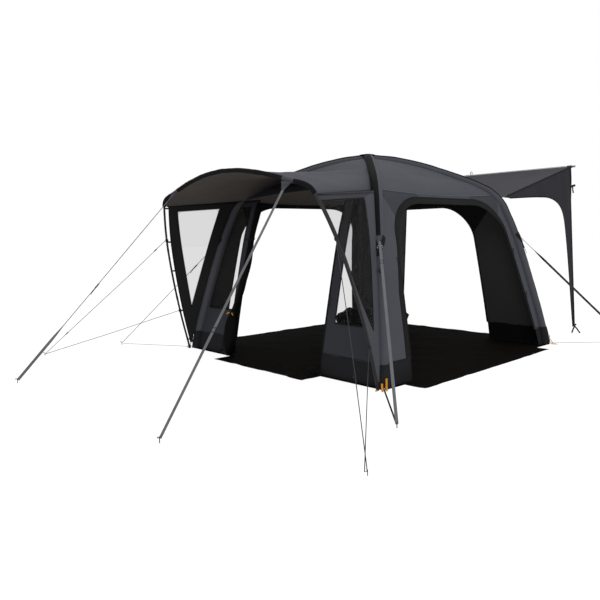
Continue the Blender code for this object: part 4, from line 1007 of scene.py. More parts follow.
def make_doors():
    x, z, radii = smooth_path(ROLL_LINE, 76).T
    path = roll_axis(x, z, radii)
    jamb = wall_points(np.stack([np.full_like(z, -DOOR_HALF), z], axis=1), "front")
    margin = spanned(jamb, path + radii[:, None] * np.array((0, 0.7, 0)), 2)
    rolled("front_door_roll", ["door_roll_front"], path, radii, 4, (0.75, 1.70), 1.0, extra=margin)

    share = np.linspace(0, 1, 46)
    heap = 0.095 + 0.055 * np.sin(math.pi * np.clip(share * 1.25, 0, 1)) + 0.018 * np.sin(17 * share)
    heap = heap * heap_ends(share, 0.06)
    path = np.stack([np.full_like(share, -HEAP_IN), 0.800 + 0.520 * share, FLOOR_Z + heap * 0.86], axis=1)
    rolled("left_door_heap", ["door_roll_left"], path, heap * 0.92, 4, (1.15, 0.65), 2.0)

    share = np.linspace(0, 1, 40)
    heap = (0.110 + 0.045 * share + 0.010 * np.sin(15 * share)) * heap_ends(share, 0.08)
    path = np.stack([-0.985 + 0.440 * share, HEAP_IN + 0.03 + 0.04 * share, FLOOR_Z + heap * 0.86], axis=1)
    rolled("back_door_heap", ["door_roll_back"], path, heap * 0.92, 4, (1.15, 0.60), 3.0, (0, 1.0, 0))

    share = np.linspace(0, 1, 22)
    radii = 0.012 + 0.016 * np.sin(math.pi * share) + 0.004 * np.sin(14 * share)
    path = np.stack([0.560 + 0.150 * share, -1.500 - 0.045 * share, FLOOR_Z + 0.010 + radii], axis=1)
    rolled("front_hem_bunch", [], path, radii, 3, (0.40, 0.22), 4.0, (0, 1.0, 0))


# Canopy. Profiles are (distance along the axis, radius)
FOOT_BALL = (
    (-0.0155, 0.004), (-0.0125, 0.010), (-0.006, 0.0145), (0.002, 0.0155), (0.009, 0.0138), (0.014, 0.0125),
    (0.045, 0.0125), (0.047, 0.0112),
)
HOOP_START_Z = 0.0165
COLLAR_HEIGHTS, COLLAR_HALF, COLLAR_LIFT = (0.62, 1.18), 0.022, 0.0011
TAB_HALF, TAB_WIDE, TAB_NARROW = 0.062, 0.130, 0.026
CREASE_HALF, CANOPY_CLIMB, CANOPY_LIFT, CANOPY_SAG = 0.640, 0.52, 0.0080, 0.018
WING_TOP_Z = EAVE_Z - 0.012
# The dark strip below the canopy's end: how far down the wing it ends, and how far out it lies
STRIP_SHARE, STRIP_OUT = 0.012, 0.006


def spindle(end, tip, shoulder, radius):
    """The profile of a short turned piece, with its ends and shoulders this far from its middle."""
    return [(-end, tip), (-shoulder, radius), (shoulder, radius), (end, tip)]


def hoop_point(half, z):
    return np.array((half, HOOP_FOOT_Y - HOOP_LEAN * (z - HOOP_FOOT_Z), z))


def hoop_half_at(z):
    legs = HOOP_HALF[HOOP_HALF[:, 0] > HOOP_SHOULDER]
    return np.interp(z, legs[:, 1], legs[:, 0])


def hoop_path(start_z, steps):
    right = [(hoop_half_at(start_z), start_z)] + [(h, z) for h, z in HOOP_HALF if z > start_z]
    whole = [(-h, z) for h, z in right] + [(h, z) for h, z in right[-2::-1]]
    return np.array([hoop_point(h, z) for h, z in smooth_path(whole, steps)])


def guy_line(name):
    """The top and the peg of a canopy strap, the hoop's place over it, and the way down it."""
    rim = hoop_point(HANDS[name] * TAB_X, np.interp(TAB_X, HOOP_HALF[::-1, 0], HOOP_HALF[::-1, 1]))
    peg = np.array((*GUY_PEGS[name], PEG_Z))
    along = unit(peg - rim)
    return rim + along * (HOOP_SLEEVE_R + TAB_LONG), peg, rim, along


def make_hoop():
    path = hoop_path(HOOP_START_Z, 150)
    piece = Piece("hoop_tubes", STEEL, BLACK)
    piece.tube(path, POLE_R, 14)
    for end, ahead in ((path[0], path[1]), (path[-1], path[-2])):
        piece.turn(FOOT_BALL, end, ahead - end, slot=1)
    for z in COLLAR_HEIGHTS:
        for hand in (1, -1):
            here, above = (hoop_point(hand * hoop_half_at(h), h) for h in (z, z + 0.05))
            collar = spindle(COLLAR_HALF, POLE_R, COLLAR_HALF - 0.001, POLE_R + COLLAR_LIFT)
            piece.turn(collar, here, above - here)
    done(piece, ["hoop_pole"], "canopy_hoop")

    path = hoop_path(HOOP_SLEEVE_FROM, 110)
    piece = Piece("hoop_cover", DARK, SLATE)
    gather = HOOP_SLEEVE_R - 0.0007 + 0.0007 * swell(path, 140, 0.10)
    piece.tube(path, gather, 18, lambda i, k: int(abs(abs(path[i][0]) - TAB_X) < TAB_HALF),
               across=(0, -1, 0.1))
    for name in HANDS:
        top, _, rim, along = guy_line(name)
        start = rim + along * HOOP_SLEEVE_R * 0.7
        t = np.linspace(0, 1, 12)
        wide = lerp(TAB_WIDE, TAB_NARROW, t ** 0.8)
        piece.band(lerp(start, top, t[:, None]), strap_ways(start, top)[2], wide, 0.0030, slot=1)
    done(piece, ["hoop_sleeve"], "canopy_hoop")


def canopy_back(s):
    """Where the canopy ends on the roof: across between the creases, then down along the beams."""
    reach = abs(s)
    climb = max(0.0, (reach - (1 - CANOPY_CLIMB)) / CANOPY_CLIMB)
    half = lerp(CREASE_HALF, half_at(WING_TOP_Z), climb)
    across = (half - ROOF_EDGE) * min(reach / (1 - CANOPY_CLIMB), 1.0)
    return np.array((math.copysign(across, s), -half, height_at(half) + CANOPY_LIFT))


def make_canopy():
    grid = []
    rims = hoop_path(HOOP_SLEEVE_FROM, 96)
    t = np.linspace(0, 1, 37)
    for rim, s in zip(rims, np.linspace(-1, 1, len(rims))):
        back = canopy_back(s)
        start = rim + unit(back - rim) * (HOOP_SLEEVE_R - 0.001)
        sag = CANOPY_SAG * np.sin(math.pi * t) * (1 - s ** 4)
        grid.append(lerp(start, back, t[:, None]) - sag[:, None] * UP)
    grid = np.array(grid)

    def ripple(points, edge):
        folds = 0.003 * crease(points, 155, 0.33, (0.5, 1, 1))
        return fade(edge, 0.12) * (0.004 * swell(points, 151, 0.6) + folds)

    piece = Piece("canopy_skin", SLATE, UNDER, RIM_HIGHLIGHT, DARK)
    shape = piece.layers(grid, away=PORCH, ripple=ripple)
    facing = edge_facing(shape)
    # The pale band along the canopy's front edge is a painted highlight on its curved underside edge
    piece.band(shape[:, 0] - facing * 0.002, facing, *RIM_HIGHLIGHT_BAND, slot=2)
    for name, row in (("left", shape[0]), ("right", shape[-1])):
        hand = HANDS[name]
        low = [wing_place(u, STRIP_SHARE, hand) + np.array((hand * STRIP_OUT, 0, 0))
               for u in lerp(*wing_span(0.03, name), np.linspace(0, 1, len(row)))]
        piece.layers(spanned(row, np.array(low), 4), away=PORCH, slots=(3, 3, 2))
    obj = cloth_done(piece, "canopy_roof", grid,
                     body=None)
    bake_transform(obj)


# Wings. Places are (share from pole to beam, share down); gaps, bands and corners are for each hand
WING_LOW, WING_SHARE_LOW = 0.075, 0.225
WING_POLE_GAP = {"right": (0.0130, 0.0130), "left": (0.056, 0.034)}
WING_POLE_BAND = {"right": 0.034, "left": 0.085}
WING_CORNERS = {
    "right": ((0.110, 0.042), (0.752, 0.043), (0.463, 0.809)),
    "left": ((0.170, 0.042), (0.752, 0.043), (0.463, 0.809)),
}
WING_END = 1 + (WING_SHARE_LOW - WING_LOW) / (HOOP_SLEEVE_FROM - WING_SHARE_LOW)
POLE_LOOP_SHARES = (0.015, 0.270, 0.500, 0.830, WING_END - 0.03)
LEAN_STRETCH = 1.08


def wing_rows(t):
    """The ends of one level row across a wing, at the pole's axis and at the beam's axis."""
    z = lerp(HOOP_SLEEVE_FROM, WING_SHARE_LOW, t)
    return hoop_point(hoop_half_at(z), z), beam_axis("front_right", lerp(WING_TOP_Z, WING_SHARE_LOW, t))


def wing_place(u, t, hand=1):
    """A place on a wing: u is the share of the way from pole to beam, t the share of the way down."""
    return lerp(*wing_rows(t), u) * np.array((hand, 1.0, 1.0))


def wing_span(t, name):
    """The shares at which a wing's cloth starts beside the pole and ends beside the beam."""
    rim, leg = wing_rows(t)
    wide = np.linalg.norm((leg - rim)[:2])
    start = lerp(*WING_POLE_GAP[name], t) / wide
    clear = SLEEVE_R * LEAN_STRETCH - 0.004 if leg[2] > MUD_H else MUD_ROUND + 0.006
    return start, max(1 - clear / wide, start + 0.01 / wide)


def wing_hole(name, count):
    """Shares across at the film's two edges, at steps down from its top to its point."""
    first, second, tip = (wing_place(u, t) for u, t in WING_CORNERS[name])
    (_, top_t), _, (tip_share, tip_t) = WING_CORNERS[name]
    rows = []
    for t in np.linspace(top_t, tip_t - 0.004, count):
        k = (t - top_t) / (tip_t - top_t)
        rim, leg = wing_rows(t)
        way = leg - rim
        a, b = ((lerp(corner, tip, k) - rim) @ way / (way @ way) for corner in (first, second))
        band = WING_POLE_BAND[name] / np.linalg.norm(way)
        if name == "right":
            a = lerp(band, tip_share, k ** 6)
        a = max(a, band * (1 - k ** 6))
        rows.append((min(a, b - 0.002), b, t))
    return rows


def squash_wing(obj):
    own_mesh(obj)


def make_wings():
    rows = 35
    for name, hand in HANDS.items():
        hole = wing_hole(name, rows)
        side_t = np.linspace(0, WING_END, rows)
        outer = [(wing_span(t, name)[0], t) for t in side_t]
        outer += [(wing_span(t, name)[1], t) for t in side_t[::-1]]
        inner = [(a, t) for a, b, t in hole] + [(b, t) for a, b, t in hole[::-1]]
        outer, rim = (np.array([wing_place(u, t, hand) for u, t in line]) for line in (outer, inner))
        grid = spanned(outer, rim, 6)
        piece = Piece("wing_skin_" + name, SLATE, WING_INSIDE, TAPE, EAVE_SHADE)
        # The top strip of each wing takes painted shade under the canopy's edge
        piece.layers(grid, closed=True, away=PORCH, ripple=rippled(160, 0.0024, 0.30, (1, 1, 0.4), 0.05),
                     slots_of=lambda i: (3, 1) if i == len(grid) - 1 else (0, 1))
        out = (hand, -0.12, 0.25)
        pole_side = [wing_place(wing_span(t, name)[0], t, hand) for t in np.linspace(0, WING_END, 50)]
        piece.band(pole_side, out, *POLE_TAPE, slot=2)
        piece.band(np.concatenate([rim, rim[:1]]), out, *FILM_TAPE, slot=2)
        for share in POLE_LOOP_SHARES:
            a, b = (wing_place(wing_span(t, name)[0], t, hand) for t in (share, share + 0.012))
            pole = wing_place(0, share, hand)
            near = pole + unit(a - pole) * (POLE_R + 0.001)
            loop = [near, (near + a) / 2 + (b - a) * 0.2, a + (a - near) * 0.1]
            piece.band(loop, out, *LOOP_TAPE, slot=2)
        squash_wing(cloth_done(piece, "canopy_wing_" + name, grid,
                               closed=True))

        pane = np.array([[wing_place(u, t, hand) for u in np.linspace(a - 0.006, b + 0.006, 12)]
                         for a, b, t in hole])
        piece = Piece("wing_pane_" + name, FILM)
        piece.layers(pane, FILM_T, away=PORCH, slots=(0, 0, 0),
                     ripple=rippled(165, 0.0030, 0.5, (1, 1, 0.5), 0.10))
        squash_wing(cloth_done(piece, "wing_window_" + name, pane))


# Tunnel
TUNNEL_START_Z = EAVE_Z - 0.050
TUNNEL_START_Y = half_at(TUNNEL_START_Z) + CLOTH / 2 + GAP * 3
BEHIND_BEAM = half_at(1.600) + SLEEVE_R * LEAN_STRETCH + CLOTH
RAIL_HALF, TUNNEL_SAG = TUNNEL_HALF + 0.045, 0.020
POLE_CAP = ((0.0, 0.0128), (0.002, 0.0134), (0.036, 0.0134), (0.040, 0.0120), (0.0412, 0.006))
POLE_JOINT, JOINT_X, POLE_SIDES = (0.03, 0.0111, 0.029, 0.0121), 0.37, 18


def tunnel_share(y):
    return (y - TUNNEL_START_Y) / (TUNNEL_END_Y - TUNNEL_START_Y)


def tunnel_roof_z(y):
    return lerp(TUNNEL_START_Z, TUNNEL_TOP_Z, tunnel_share(y))


def tunnel_side(y):
    return lerp(TUNNEL_FRONT_HALF, TUNNEL_HALF, np.minimum(tunnel_share(y), 1.0))


def make_tunnel_roof():
    stop = TUNNEL_END_Y - TUNNEL_POLE_R * 0.6
    inner = 1 - (EDGE + CLOTH) / TUNNEL_FRONT_HALF
    grid = []
    for share in np.linspace(-1, 1, 61):
        start = lerp(TUNNEL_START_Y, BEHIND_BEAM, ramp(abs(share), inner - 0.03, inner))
        y = np.linspace(start, stop, 41)
        t = (y - TUNNEL_START_Y) / (stop - TUNNEL_START_Y)
        sag = TUNNEL_SAG * np.sin(math.pi * t) * (1 - share ** 2)
        grid.append(np.stack([share * tunnel_side(y), y, tunnel_roof_z(y) - sag], axis=1))
    grid = np.array(grid)

    def ripple(points, edge):
        pull = np.sin(9 * points[..., 0] / TUNNEL_HALF + 3.0 * points[..., 1]) * 0.004
        return fade(edge, 0.10) * (0.006 * swell(points, 171, 0.5, (1, 0.4, 1)) + pull)

    piece = Piece("tunnel_skin", TUNNEL, INSIDE, TAPE)
    shape = piece.layers(grid, away=TUNNEL_ROOM, ripple=ripple)
    for row in (shape[0], shape[-1]):
        piece.band(row[2:] + 0.004 * UP, UP, *TUNNEL_TAPE, slot=2)
    cloth_done(piece, "tunnel_roof", grid)


def make_curtains():
    for name, hand in HANDS.items():
        top = [(y, tunnel_roof_z(y) - CLOTH / 2)
               for y in np.linspace(BEHIND_BEAM + CLOTH / 2, TUNNEL_END_Y - TUNNEL_POLE_R - CLOTH, 30)]
        leg = [(TUNNEL_END_Y + TUNNEL_LEG_BACK * (1 - z / TUNNEL_TOP_Z), z)
               for z in np.linspace(CURTAIN_LEG_Z + 0.25, TUNNEL_FOOT_Z, 42)]
        outer = np.concatenate([even_path(top, 36), even_path([top[-1]] + leg, 44)[1:]])
        y, z = np.moveaxis(spanned(outer, smooth_path(CURTAIN_EDGES[name], 80), 8), -1, 0)
        flare = CURTAIN_FLARE * np.clip(1 - z / CURTAIN_LEG_Z, 0, None)
        grid = np.stack([hand * (tunnel_side(y) - CLOTH + flare), y, z], axis=-1)

        def ripple(points, edge):
            y, z = points[..., 1], points[..., 2]
            hang = 0.006 * np.sin(y * 42 + z * 5) * (1 - 0.4 * ramp(z, 2.0, 1.0))
            return fade(edge, 0.03) * (hang + 0.005 * swell(points, 175 + hand, 0.25, (1, 1, 0.35)))

        piece = Piece("curtain_skin_" + name, CURTAIN, INSIDE, TAPE)
        shape = piece.layers(grid, away=TUNNEL_ROOM, ripple=ripple)
        piece.band(shape[:, -1], (hand, 0, 0), *CURTAIN_TAPE, slot=2)
        piece.band(shape[36:, 0], (hand, 0, 0), *LEG_TAPE, slot=2)
        cloth_done(piece, "tunnel_curtain_" + name, grid)


def make_tunnel_pole():
    piece = Piece("tunnel_tube", BRIGHT, BLACK)
    line = [(x, TUNNEL_END_Y, TUNNEL_TOP_Z) for x in np.linspace(0.03 - RAIL_HALF, RAIL_HALF - 0.03, 50)]
    piece.tube(line, TUNNEL_POLE_R, POLE_SIDES)
    for hand in (1, -1):
        end = (hand * (RAIL_HALF - 0.040), TUNNEL_END_Y, TUNNEL_TOP_Z)
        piece.turn(POLE_CAP, end, (hand, 0, 0), POLE_SIDES)
        middle = (hand * JOINT_X, TUNNEL_END_Y, TUNNEL_TOP_Z)
        piece.turn(spindle(*POLE_JOINT), middle, (1, 0, 0), POLE_SIDES)
    done(piece, ["tunnel_pole"])

    piece = Piece("van_rail_strip", DARK)
    y = TUNNEL_END_Y + TUNNEL_POLE_R + GAP + 0.007
    line = [(x, y, TUNNEL_TOP_Z) for x in np.linspace(-TUNNEL_HALF, TUNNEL_HALF, 60)]
    piece.band(line, (0, 1, 0), *VAN_STRIP)
    done(piece, ["van_strip"])


# Straps, ladder-locks and pegs. A lock's lines: (across, along, out) or (along, out)
STORM_WIDTH, GUY_WIDTH = 0.024, 0.026
STRAP_TWIST, TWIST_LONG, STORM_TWIST_FROM, GUY_TWIST_FROM = math.radians(80), 0.10, 0.13, 0.72
LOCK_HALF, LOCK_RAIL = 0.0145, ((-0.020, 0), (-0.012, 0.0018), (0.0, 0.0024), (0.012, 0.0012), (0.020, 0))
LOCK_BARS, BAR_HALF = ((-0.0185, -0.0022), (-0.002, 0.0046), (0.0185, -0.0022)), 0.0160
RAIL_R, RAIL_SQUASH, BAR_R = 0.0028, 1.2, 0.0021
LOCK_TAB = ((0, -0.020, 0.0046), (0, -0.027, 0.0062), (0, -0.034, 0.0090))
LOCK_TAIL = (
    (0, -0.002, 0.0072), (0, 0.014, 0.0066), (0.001, 0.040, 0.0058), (0.003, 0.075, 0.0074),
    (0.006, 0.105, 0.0120),
)


def storm_line(corner):
    """A storm strap's top, on the corner side of its beam, and its peg."""
    low, high = (beam_axis(corner, h) for h in (STORM_Z - SLEEVE_R, STORM_Z + SLEEVE_R))
    rise = unit(high - low)
    out = corner_way(corner)
    out = unit(out - rise * (out @ rise))
    return (low + high) / 2 + out * (SLEEVE_R + GAP * 3), np.array((*STORM_PEGS[corner], PEG_Z))


def web_strap(piece, top, bottom, width, twist=0.0, twist_from=0.0):
    t = np.linspace(0, 1, 60)[:, None]
    _, level, face = strap_ways(top, bottom)
    turn = twist * ramp(t, twist_from, twist_from + TWIST_LONG)
    piece.band(lerp(top, bottom, t), face * np.cos(turn) + level * np.sin(turn), width)


def ladder_lock(name, node, top, bottom, share):
    """A ladder-lock: a frame with bars, a lifting tab, and the strap's tail looped back over it."""
    along, level, face = strap_ways(top, bottom)
    at = placer(lerp(top, bottom, share), level, along, face)
    piece = Piece(name, BLACK, WEB)
    for x in (-LOCK_HALF, LOCK_HALF):
        piece.tube(at(*((x, y, z) for y, z in LOCK_RAIL)), RAIL_R, 10, squash=RAIL_SQUASH)
    for y, z in LOCK_BARS:
        piece.tube(at((-BAR_HALF, y, z), (BAR_HALF, y, z)), BAR_R, 10)
    piece.band(at(*LOCK_TAB), face, *LOCK_TAB_TAPE)
    piece.band(smooth_path(at(*LOCK_TAIL), 14), face, *LOCK_TAIL_TAPE, slot=1)
    done(piece, [node], node)


def make_peg(name, foot, lean, nodes=(), tall=0.042, radius=0.0032):
    """The hooked top of a peg, and a little of its shaft that shows above the ground."""
    out = unit((lean[0], lean[1], 0))
    base = np.array((foot[0], foot[1], 0)) + out * (radius + 0.0011)
    hook = ((0.0004, 0), (tall * 0.5, 0), (tall * 0.75, 0), (tall * 0.92, 0.0016), (tall + 0.001, 0.006),
            (tall + 0.002, 0.012), (tall, 0.017), (tall - 0.004, 0.020))
    piece = Piece(name, STEEL)
    piece.tube([base + out * r + UP * z for z, r in hook], radius)
    done(piece, nodes)


def make_straps():
    for corner, share in STORM_BUCKLE_SHARES.items():
        top, bottom = storm_line(corner)
        piece = Piece("storm_web_" + corner, WEB if corner == "front_right" else DARK_WEB)
        twist = STRAP_TWIST if corner.startswith("back") else 0.0
        web_strap(piece, top, bottom, STORM_WIDTH, twist, STORM_TWIST_FROM)
        done(piece, ["storm_strap_" + corner])
        ladder_lock("storm_lock_" + corner, "storm_buckle_" + corner, top, bottom, share)
        make_peg("storm_peg_" + corner, bottom, bottom - top)
    for name, hand in HANDS.items():
        top, bottom, _, along = guy_line(name)
        piece = Piece("guy_web_" + name, WEB)
        twist = STRAP_TWIST if name == "left" else 0.0
        web_strap(piece, top + along * GAP, bottom, GUY_WIDTH, twist, GUY_TWIST_FROM)
        obj = done(piece, ["guy_strap_" + name], None)
        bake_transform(obj)
        ladder_lock("guy_lock_" + name, "guy_buckle_" + name, top, bottom, GUY_BUCKLE_SHARES[name])
        make_peg("guy_peg_hook_" + name, bottom, along, ["guy_peg_" + name])
        x, y, _ = CORD_ROUTES[name][CORD_TURN]
        make_peg("cord_peg_" + name, (x - hand * 0.005, y + 0.006), (hand, -1.1), tall=0.036, radius=0.0026)


# Small trims: patches, pull loops, ties and tensioners
PATCH_TURN, PATCH_RISE, PATCH_SPREAD = 0.14, 0.060, math.radians(62)
PATCH_WIDE, PATCH_NARROW, PATCH_LEG_WIDE, PATCH_LONG = 0.052, 0.036, 0.054, 0.100
# Rings: (radius, wire's radius)
PATCH_RING, GROUND_RING = (0.0105, 0.0016), (0.013, 0.0018)
# The loose end of a patch: (drop, turn, lift)
PATCH_TAIL = ((0.02, 0.45, 0.004), (0.09, 0.62, 0.014), (0.17, 0.80, 0.024))
# The orange loops at a beam's foot, (place across, height, reach), and the tab beside them
PULL_LOOPS = ((-0.022, 0.105, 0.010), (0.016, 0.060, 0.030))
PULL_TAB = ((0.045, 0, 0.010), (0.065, 0.030, 0.010), (0.069, 0.062, 0.010))
GROUND_WEB_WIDTH = 0.014
DOOR_TOGGLES = {
    "front": ((0.700, 1.20), (0.700, 0.72), (-0.700, 1.42)),
    "right": ((-1.000, 1.10), (1.080, 1.12), (1.190, 0.62)),
    "back": ((-0.700, 1.20), (-0.715, 0.75), (0.700, 1.20)),
    "left": ((-1.080, 1.12), (1.000, 1.10)),
}
TOGGLE_LOOP = ((0, 0, 0), (0, 0.010, -0.020), (0.006, 0.012, -0.055), (0.010, 0.010, -0.085))
TOGGLE, TOGGLE_LIFT, TOGGLE_CORD_R = (0.016, 0.0030, 0.013, 0.0046), 0.006, 0.0020
# The ties of the front door's roll: height and radius
ROLL_TIES = ((0.478, 0.0375), (1.290, 0.0385))
# The tunnel's ties: the radius of the loops round the pole, where the knots hang, and their spindles
POLE_LOOP_R, KNOT_OUT, KNOT_Y, KNOT_Z = 0.0155, 0.008, 2.400, 1.873
KNOT, FOOT_KNOT = (0.036, 0.008, 0.028, 0.0145), (0.010, 0.006, 0.008, 0.010)
KNOT_TAIL = ((0, 0, 0.004), (0.006, 0, -0.045), (0.012, 0.004, -0.088))
FOOT_TIE_OUT, FOOT_TIE_Y = 0.086, 2.399
# The two tails at the tunnel's foot: how far they spread to the side and back
FOOT_TAILS = ((-0.020, -0.030), (0.060, 0.026))
RAIL_LOOP_X = -0.134
RAIL_LOOP = ((0.012, 0, 0), (0.016, 0, 0.030), (0.0, 0, 0.042), (-0.014, 0, 0.022), (-0.012, 0, 0))
RAIL_TAB = ((-0.020, -0.030, -0.004), (-0.052, -0.040, -0.004))
RUNNERS, RUNNER_STEPS = {"right": (0.36,), "left": (0.045, 0.44)}, 140
RUNNER = (
    (-0.022, 0.0034), (-0.019, 0.0066), (-0.006, 0.0056), (0.006, 0.0056), (0.019, 0.0066), (0.022, 0.0034),
)
RUNNER_GRIP = ((0.008, -0.016, 0), (0.0095, 0, 0), (0.008, 0.016, 0))
STAY_SHARE, STAY_Z, STAY_TURN = 0.47, 1.33, 1.45


def cover_band(piece, corner, steps, lift, width):
    """A tape over a beam's cover, through (height, turn) steps."""
    spots, ways = zip(*(on_beam(corner, z, turn, lift) for z, turn in steps))
    piece.band(spots, np.array(ways), width, BINDING_T)


def make_patches():
    """Black strap patches with their rings where the storm straps leave the beams."""
    t = np.linspace(0, 1, 12)
    for corner in CORNERS:
        piece = Piece("strap_patch_" + corner, TAPE, RING, DARK_WEB)
        for turn in (-PATCH_SPREAD, PATCH_SPREAD):
            steps = zip(STORM_Z + PATCH_RISE * (1 - 2 * t), PATCH_TURN + turn * (1 - t) ** 0.8)
            cover_band(piece, corner, steps, 0.0045, lerp(PATCH_WIDE, PATCH_NARROW, t))
        steps = [(STORM_Z - 0.010 - PATCH_LONG * k, PATCH_TURN + 0.04 * k) for k in np.linspace(0, 1, 8)]
        cover_band(piece, corner, steps, 0.006, PATCH_LEG_WIDE)
        for turn in (-0.26, 0.26):
            spot, way = on_beam(corner, STORM_Z - 0.030, turn, 0.0125)
            piece.ring(spot, way, *PATCH_RING, 1)
        tail = [on_beam(corner, STORM_Z - drop, turn, lift) for drop, turn, lift in PATCH_TAIL]
        piece.band(smooth_path([spot for spot, _ in tail], 10), tail[1][1], *PATCH_TAIL_TAPE, slot=2)
        done(piece)


def make_ground_straps():
    """Straps and orange pull loops from the beams' feet to the storm pegs."""
    for corner in CORNERS:
        out = corner_way(corner)
        side = np.array((out[1], -out[0], 0.0))
        foot = beam_axis(corner, 0.0, half_at(0.0) + (MUD_ROUND + 0.006) * math.sqrt(0.5))
        at = placer(foot, side, out, UP)
        piece = Piece("ground_web_" + corner, TAPE if corner == "front_right" else DARK_WEB, ORANGE_WEB, RING)
        peg = np.array((*STORM_PEGS[corner], 0.022)) - out * 0.01
        web_strap(piece, at((0, 0.020, 0.014))[0], peg, GROUND_WEB_WIDTH)
        for x, high, reach in PULL_LOOPS:
            line = at((x, 0, high), (x, reach * 0.5, high * 0.55), (x, reach, 0.010),
                      (x, reach + 0.035, 0.006))
            piece.band(smooth_path(line, 12), out + 0.4 * UP, *PULL_TAPE, slot=1)
        piece.band(at(*PULL_TAB), UP, *PULL_TAB_TAPE, slot=1)
        piece.ring(at((0, 0.018, 0.016))[0], side, *GROUND_RING, 2)
        done(piece)


def make_ties():
    """Tie-back toggles beside the doorways, and the ties that hold the front door's roll."""
    piece = Piece("door_toggles", BLACK, TAPE)
    for side, spots in DOOR_TOGGLES.items():
        along, out = turned(((1.0, 0, 0), (0, -1.0, 0)), side)
        for spot in wall_points(spots, side, TOGGLE_LIFT):
            piece.turn(spindle(*TOGGLE), spot + out * TOGGLE_LIFT, UP, 10)
            loop = placer(spot, along, out, UP)(*TOGGLE_LOOP)
            piece.tube(smooth_path(loop, 10), TOGGLE_CORD_R, 8, slot=1)
    done(piece)

    piece = Piece("door_roll_tie", TAPE, ORANGE_WEB)
    line = np.array(ROLL_LINE)[::-1]
    turn = np.linspace(0, TWO_PI, 25)
    round_it = np.stack([np.cos(turn), np.sin(turn), 0.08 * np.sin(turn + 1.0)], axis=1)
    for z, radius in ROLL_TIES:
        x, size = (np.interp(z, line[:, 1], line[:, k]) for k in (0, 2))
        at = placer(roll_axis(x, z, size), (1, 0, 0), (0, -1, 0), UP)
        piece.band(roll_axis(x, z, size) + radius * round_it, round_it * (1, 1, 0), *ROLL_TIE_TAPE)
        for hand in (-1, 1):
            end = at((hand * 0.020, radius + 0.004, 0), (hand * 0.042, radius + 0.016, -0.004),
                     (hand * 0.058, radius + 0.012, -0.020))
            piece.band(smooth_path(end, 6), (0, -1, 0.2), *TIE_END_TAPE, slot=1 if z < 1 else 0)
    done(piece)


def make_tunnel_ties():
    """Loops, toggles and hanging ties at the tunnel's van end."""
    turn = np.linspace(0, TWO_PI, 17)
    round_pole = np.stack([0 * turn, np.cos(turn), np.sin(turn)], axis=1)
    for name, hand in HANDS.items():
        piece = Piece("tunnel_ties_" + name, TAPE, BLACK)
        x = TUNNEL_HALF - 0.012
        for loop_x in (x, x - 0.030):
            loop = np.array((hand * loop_x, TUNNEL_END_Y, TUNNEL_TOP_Z)) + POLE_LOOP_R * round_pole
            piece.band(loop, round_pole, *POLE_LOOP_TAPE)
        knot = np.array((hand * (TUNNEL_HALF + KNOT_OUT), KNOT_Y, KNOT_Z))
        at = placer(knot, (hand, 0, 0), (0, 1, 0), UP)
        piece.turn(spindle(*KNOT), knot, (0.75 * hand, 0.35, 0.25), 12, slot=1)
        piece.band(at(*KNOT_TAIL), (hand, -1.0, 0), *TIE_TAIL_TAPE)
        line = [(hand * x, 2.394, z) for z in np.linspace(TUNNEL_TOP_Z - 0.02, knot[2], 8)]
        piece.band(line, (hand, 0, 0), *TIE_END_TAPE)
        foot = (hand * (TUNNEL_HALF + FOOT_TIE_OUT), FOOT_TIE_Y, TUNNEL_FOOT_Z + 0.004)
        at = placer(foot, (hand, 0, 0), (0, 1, 0), UP)
        for wide, deep in FOOT_TAILS:
            line = at((0, 0, 0), (wide * 0.4, deep * 0.4, -0.030), (wide, deep, -0.086))
            piece.band(smooth_path(line, 8), (hand, -0.6, 0.3), *POLE_LOOP_TAPE)
        piece.turn(spindle(*FOOT_KNOT), at((0.012, 0, 0.020))[0], (0, 1.0, 0.2), 12, slot=1)
        done(piece)


def make_rail_loop():
    """A loop and its pull tab on the strip that meets the vehicle."""
    piece = Piece("rail_loop", TAPE, ORANGE_WEB)
    at = placer((RAIL_LOOP_X, TUNNEL_END_Y - 0.006, TUNNEL_TOP_Z + 0.014), (1, 0, 0), (0, 1, 0), UP)
    piece.band(smooth_path(at(*RAIL_LOOP), 14), UP, *RAIL_TAPE)
    piece.band(at(*RAIL_TAB), UP, *RAIL_TAB_TAPE, slot=1)
    done(piece)


def make_stay_strap():
    """The strap behind the right wing, from the near beam to the pole."""
    pole, _ = wing_rows(STAY_SHARE)
    start, _ = on_beam("front_right", STAY_Z, STAY_TURN)
    end = pole + unit(start - pole) * (POLE_R + 0.002)
    piece = Piece("stay_strap_right", TAPE)
    piece.band(lerp(start, end, np.linspace(0, 1, 24)[:, None]), (1.0, -1.0, 0.2), *STAY_TAPE)
    obj = done(piece, (), None)
    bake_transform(obj)


def make_runners():
    """The tensioners on the two hoop cords."""
    for name, shares in RUNNERS.items():
        route = smooth_path(CORD_ROUTES[name], RUNNER_STEPS)
        piece = Piece("cord_runner_" + name, BLACK)
        for share in shares:
            k = int(share * RUNNER_STEPS)
            along, level, face = strap_ways(route[k], route[k + 1])
            piece.turn(RUNNER, route[k], along, 12)
            piece.band(placer(route[k], level, along, face)(*RUNNER_GRIP), level, *GRIP_TAPE)
        blend_cord(done(piece, (), None))


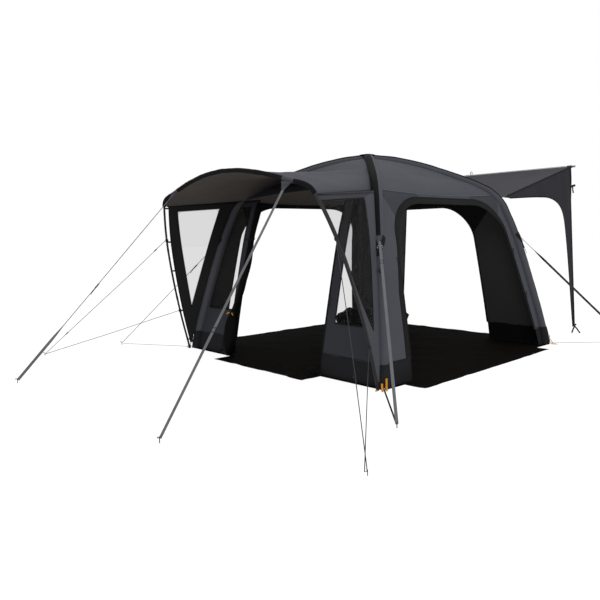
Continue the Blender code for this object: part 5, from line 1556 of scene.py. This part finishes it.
def finish_cad_nodes():
    """Give the CAD model's own pieces that stay in sight their looks."""
    clips = ["cord_clip_" + name + end for name in HANDS for end in ("_upper", "_lower")]
    for node in ["air_frame", "inflation_valve", "valve_cap"] + clips:
        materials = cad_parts[node].data.materials
        materials.clear()
        materials.append(TUBE if node == "air_frame" else BLACK)


# The studio: lamps are (place, size, power, aim)
STUDIO_REACH, STUDIO_Z, FLOOR_GLOW = 60.0, -0.001, 0.90
LAMPS = (
    ((6.5, -6.0, 6.5), 5.0, 300.0, (0, 0, 1.0)),
    ((9.0, 1.0, 5.0), 5.0, 150.0, (0, 0, 1.0)),
    ((0.0, 0.0, 8.5), 6.0, 190.0, (0, 0, 0.0)),
)


def make_studio():
    mesh = bpy.data.meshes.new("studio_floor")
    corners = [(x * STUDIO_REACH, y * STUDIO_REACH, STUDIO_Z) for x, y in CORNERS.values()]
    mesh.from_pydata(corners, [], [(0, 1, 2, 3)])
    floor = linked("studio_floor", mesh)
    g = Graph("studio_floor", (0.14, 0.14, 0.14), 0.9, specular=0.0)
    g.feed(g.shader, {"Emission Color": (1.0, 1.0, 1.0), "Emission Strength": FLOOR_GLOW})
    mesh.materials.append(g.material)
    world = bpy.data.worlds.new("studio")
    bpy.context.scene.world = world
    world.use_nodes = True
    back = world.node_tree.nodes["Background"]
    back.inputs["Color"].default_value = (1.0, 1.0, 1.0, 1)
    back.inputs["Strength"].default_value = 1.0
    for place, size, power, aim in LAMPS:
        data = bpy.data.lights.new("soft_light", "AREA")
        data.shape, data.size, data.energy = "DISK", size, power
        lamp = linked("soft_light", data)
        lamp.rotation_euler = (Vector(aim) - Vector(place)).to_track_quat("-Z", "Y").to_euler()
        lamp.location = place
    bpy.context.scene.view_settings.view_transform = "Standard"


for make in (
    make_camera, make_cords, make_beams, make_hub, make_roof, make_walls, make_lower_walls, make_front,
    make_floor, make_doors, make_hoop, make_canopy, make_wings, make_tunnel_roof, make_curtains,
    make_tunnel_pole, make_straps, make_patches, make_ground_straps, make_ties, make_tunnel_ties,
    make_rail_loop, make_stay_strap, make_runners, finish_cad_nodes, make_studio,
):
    make()
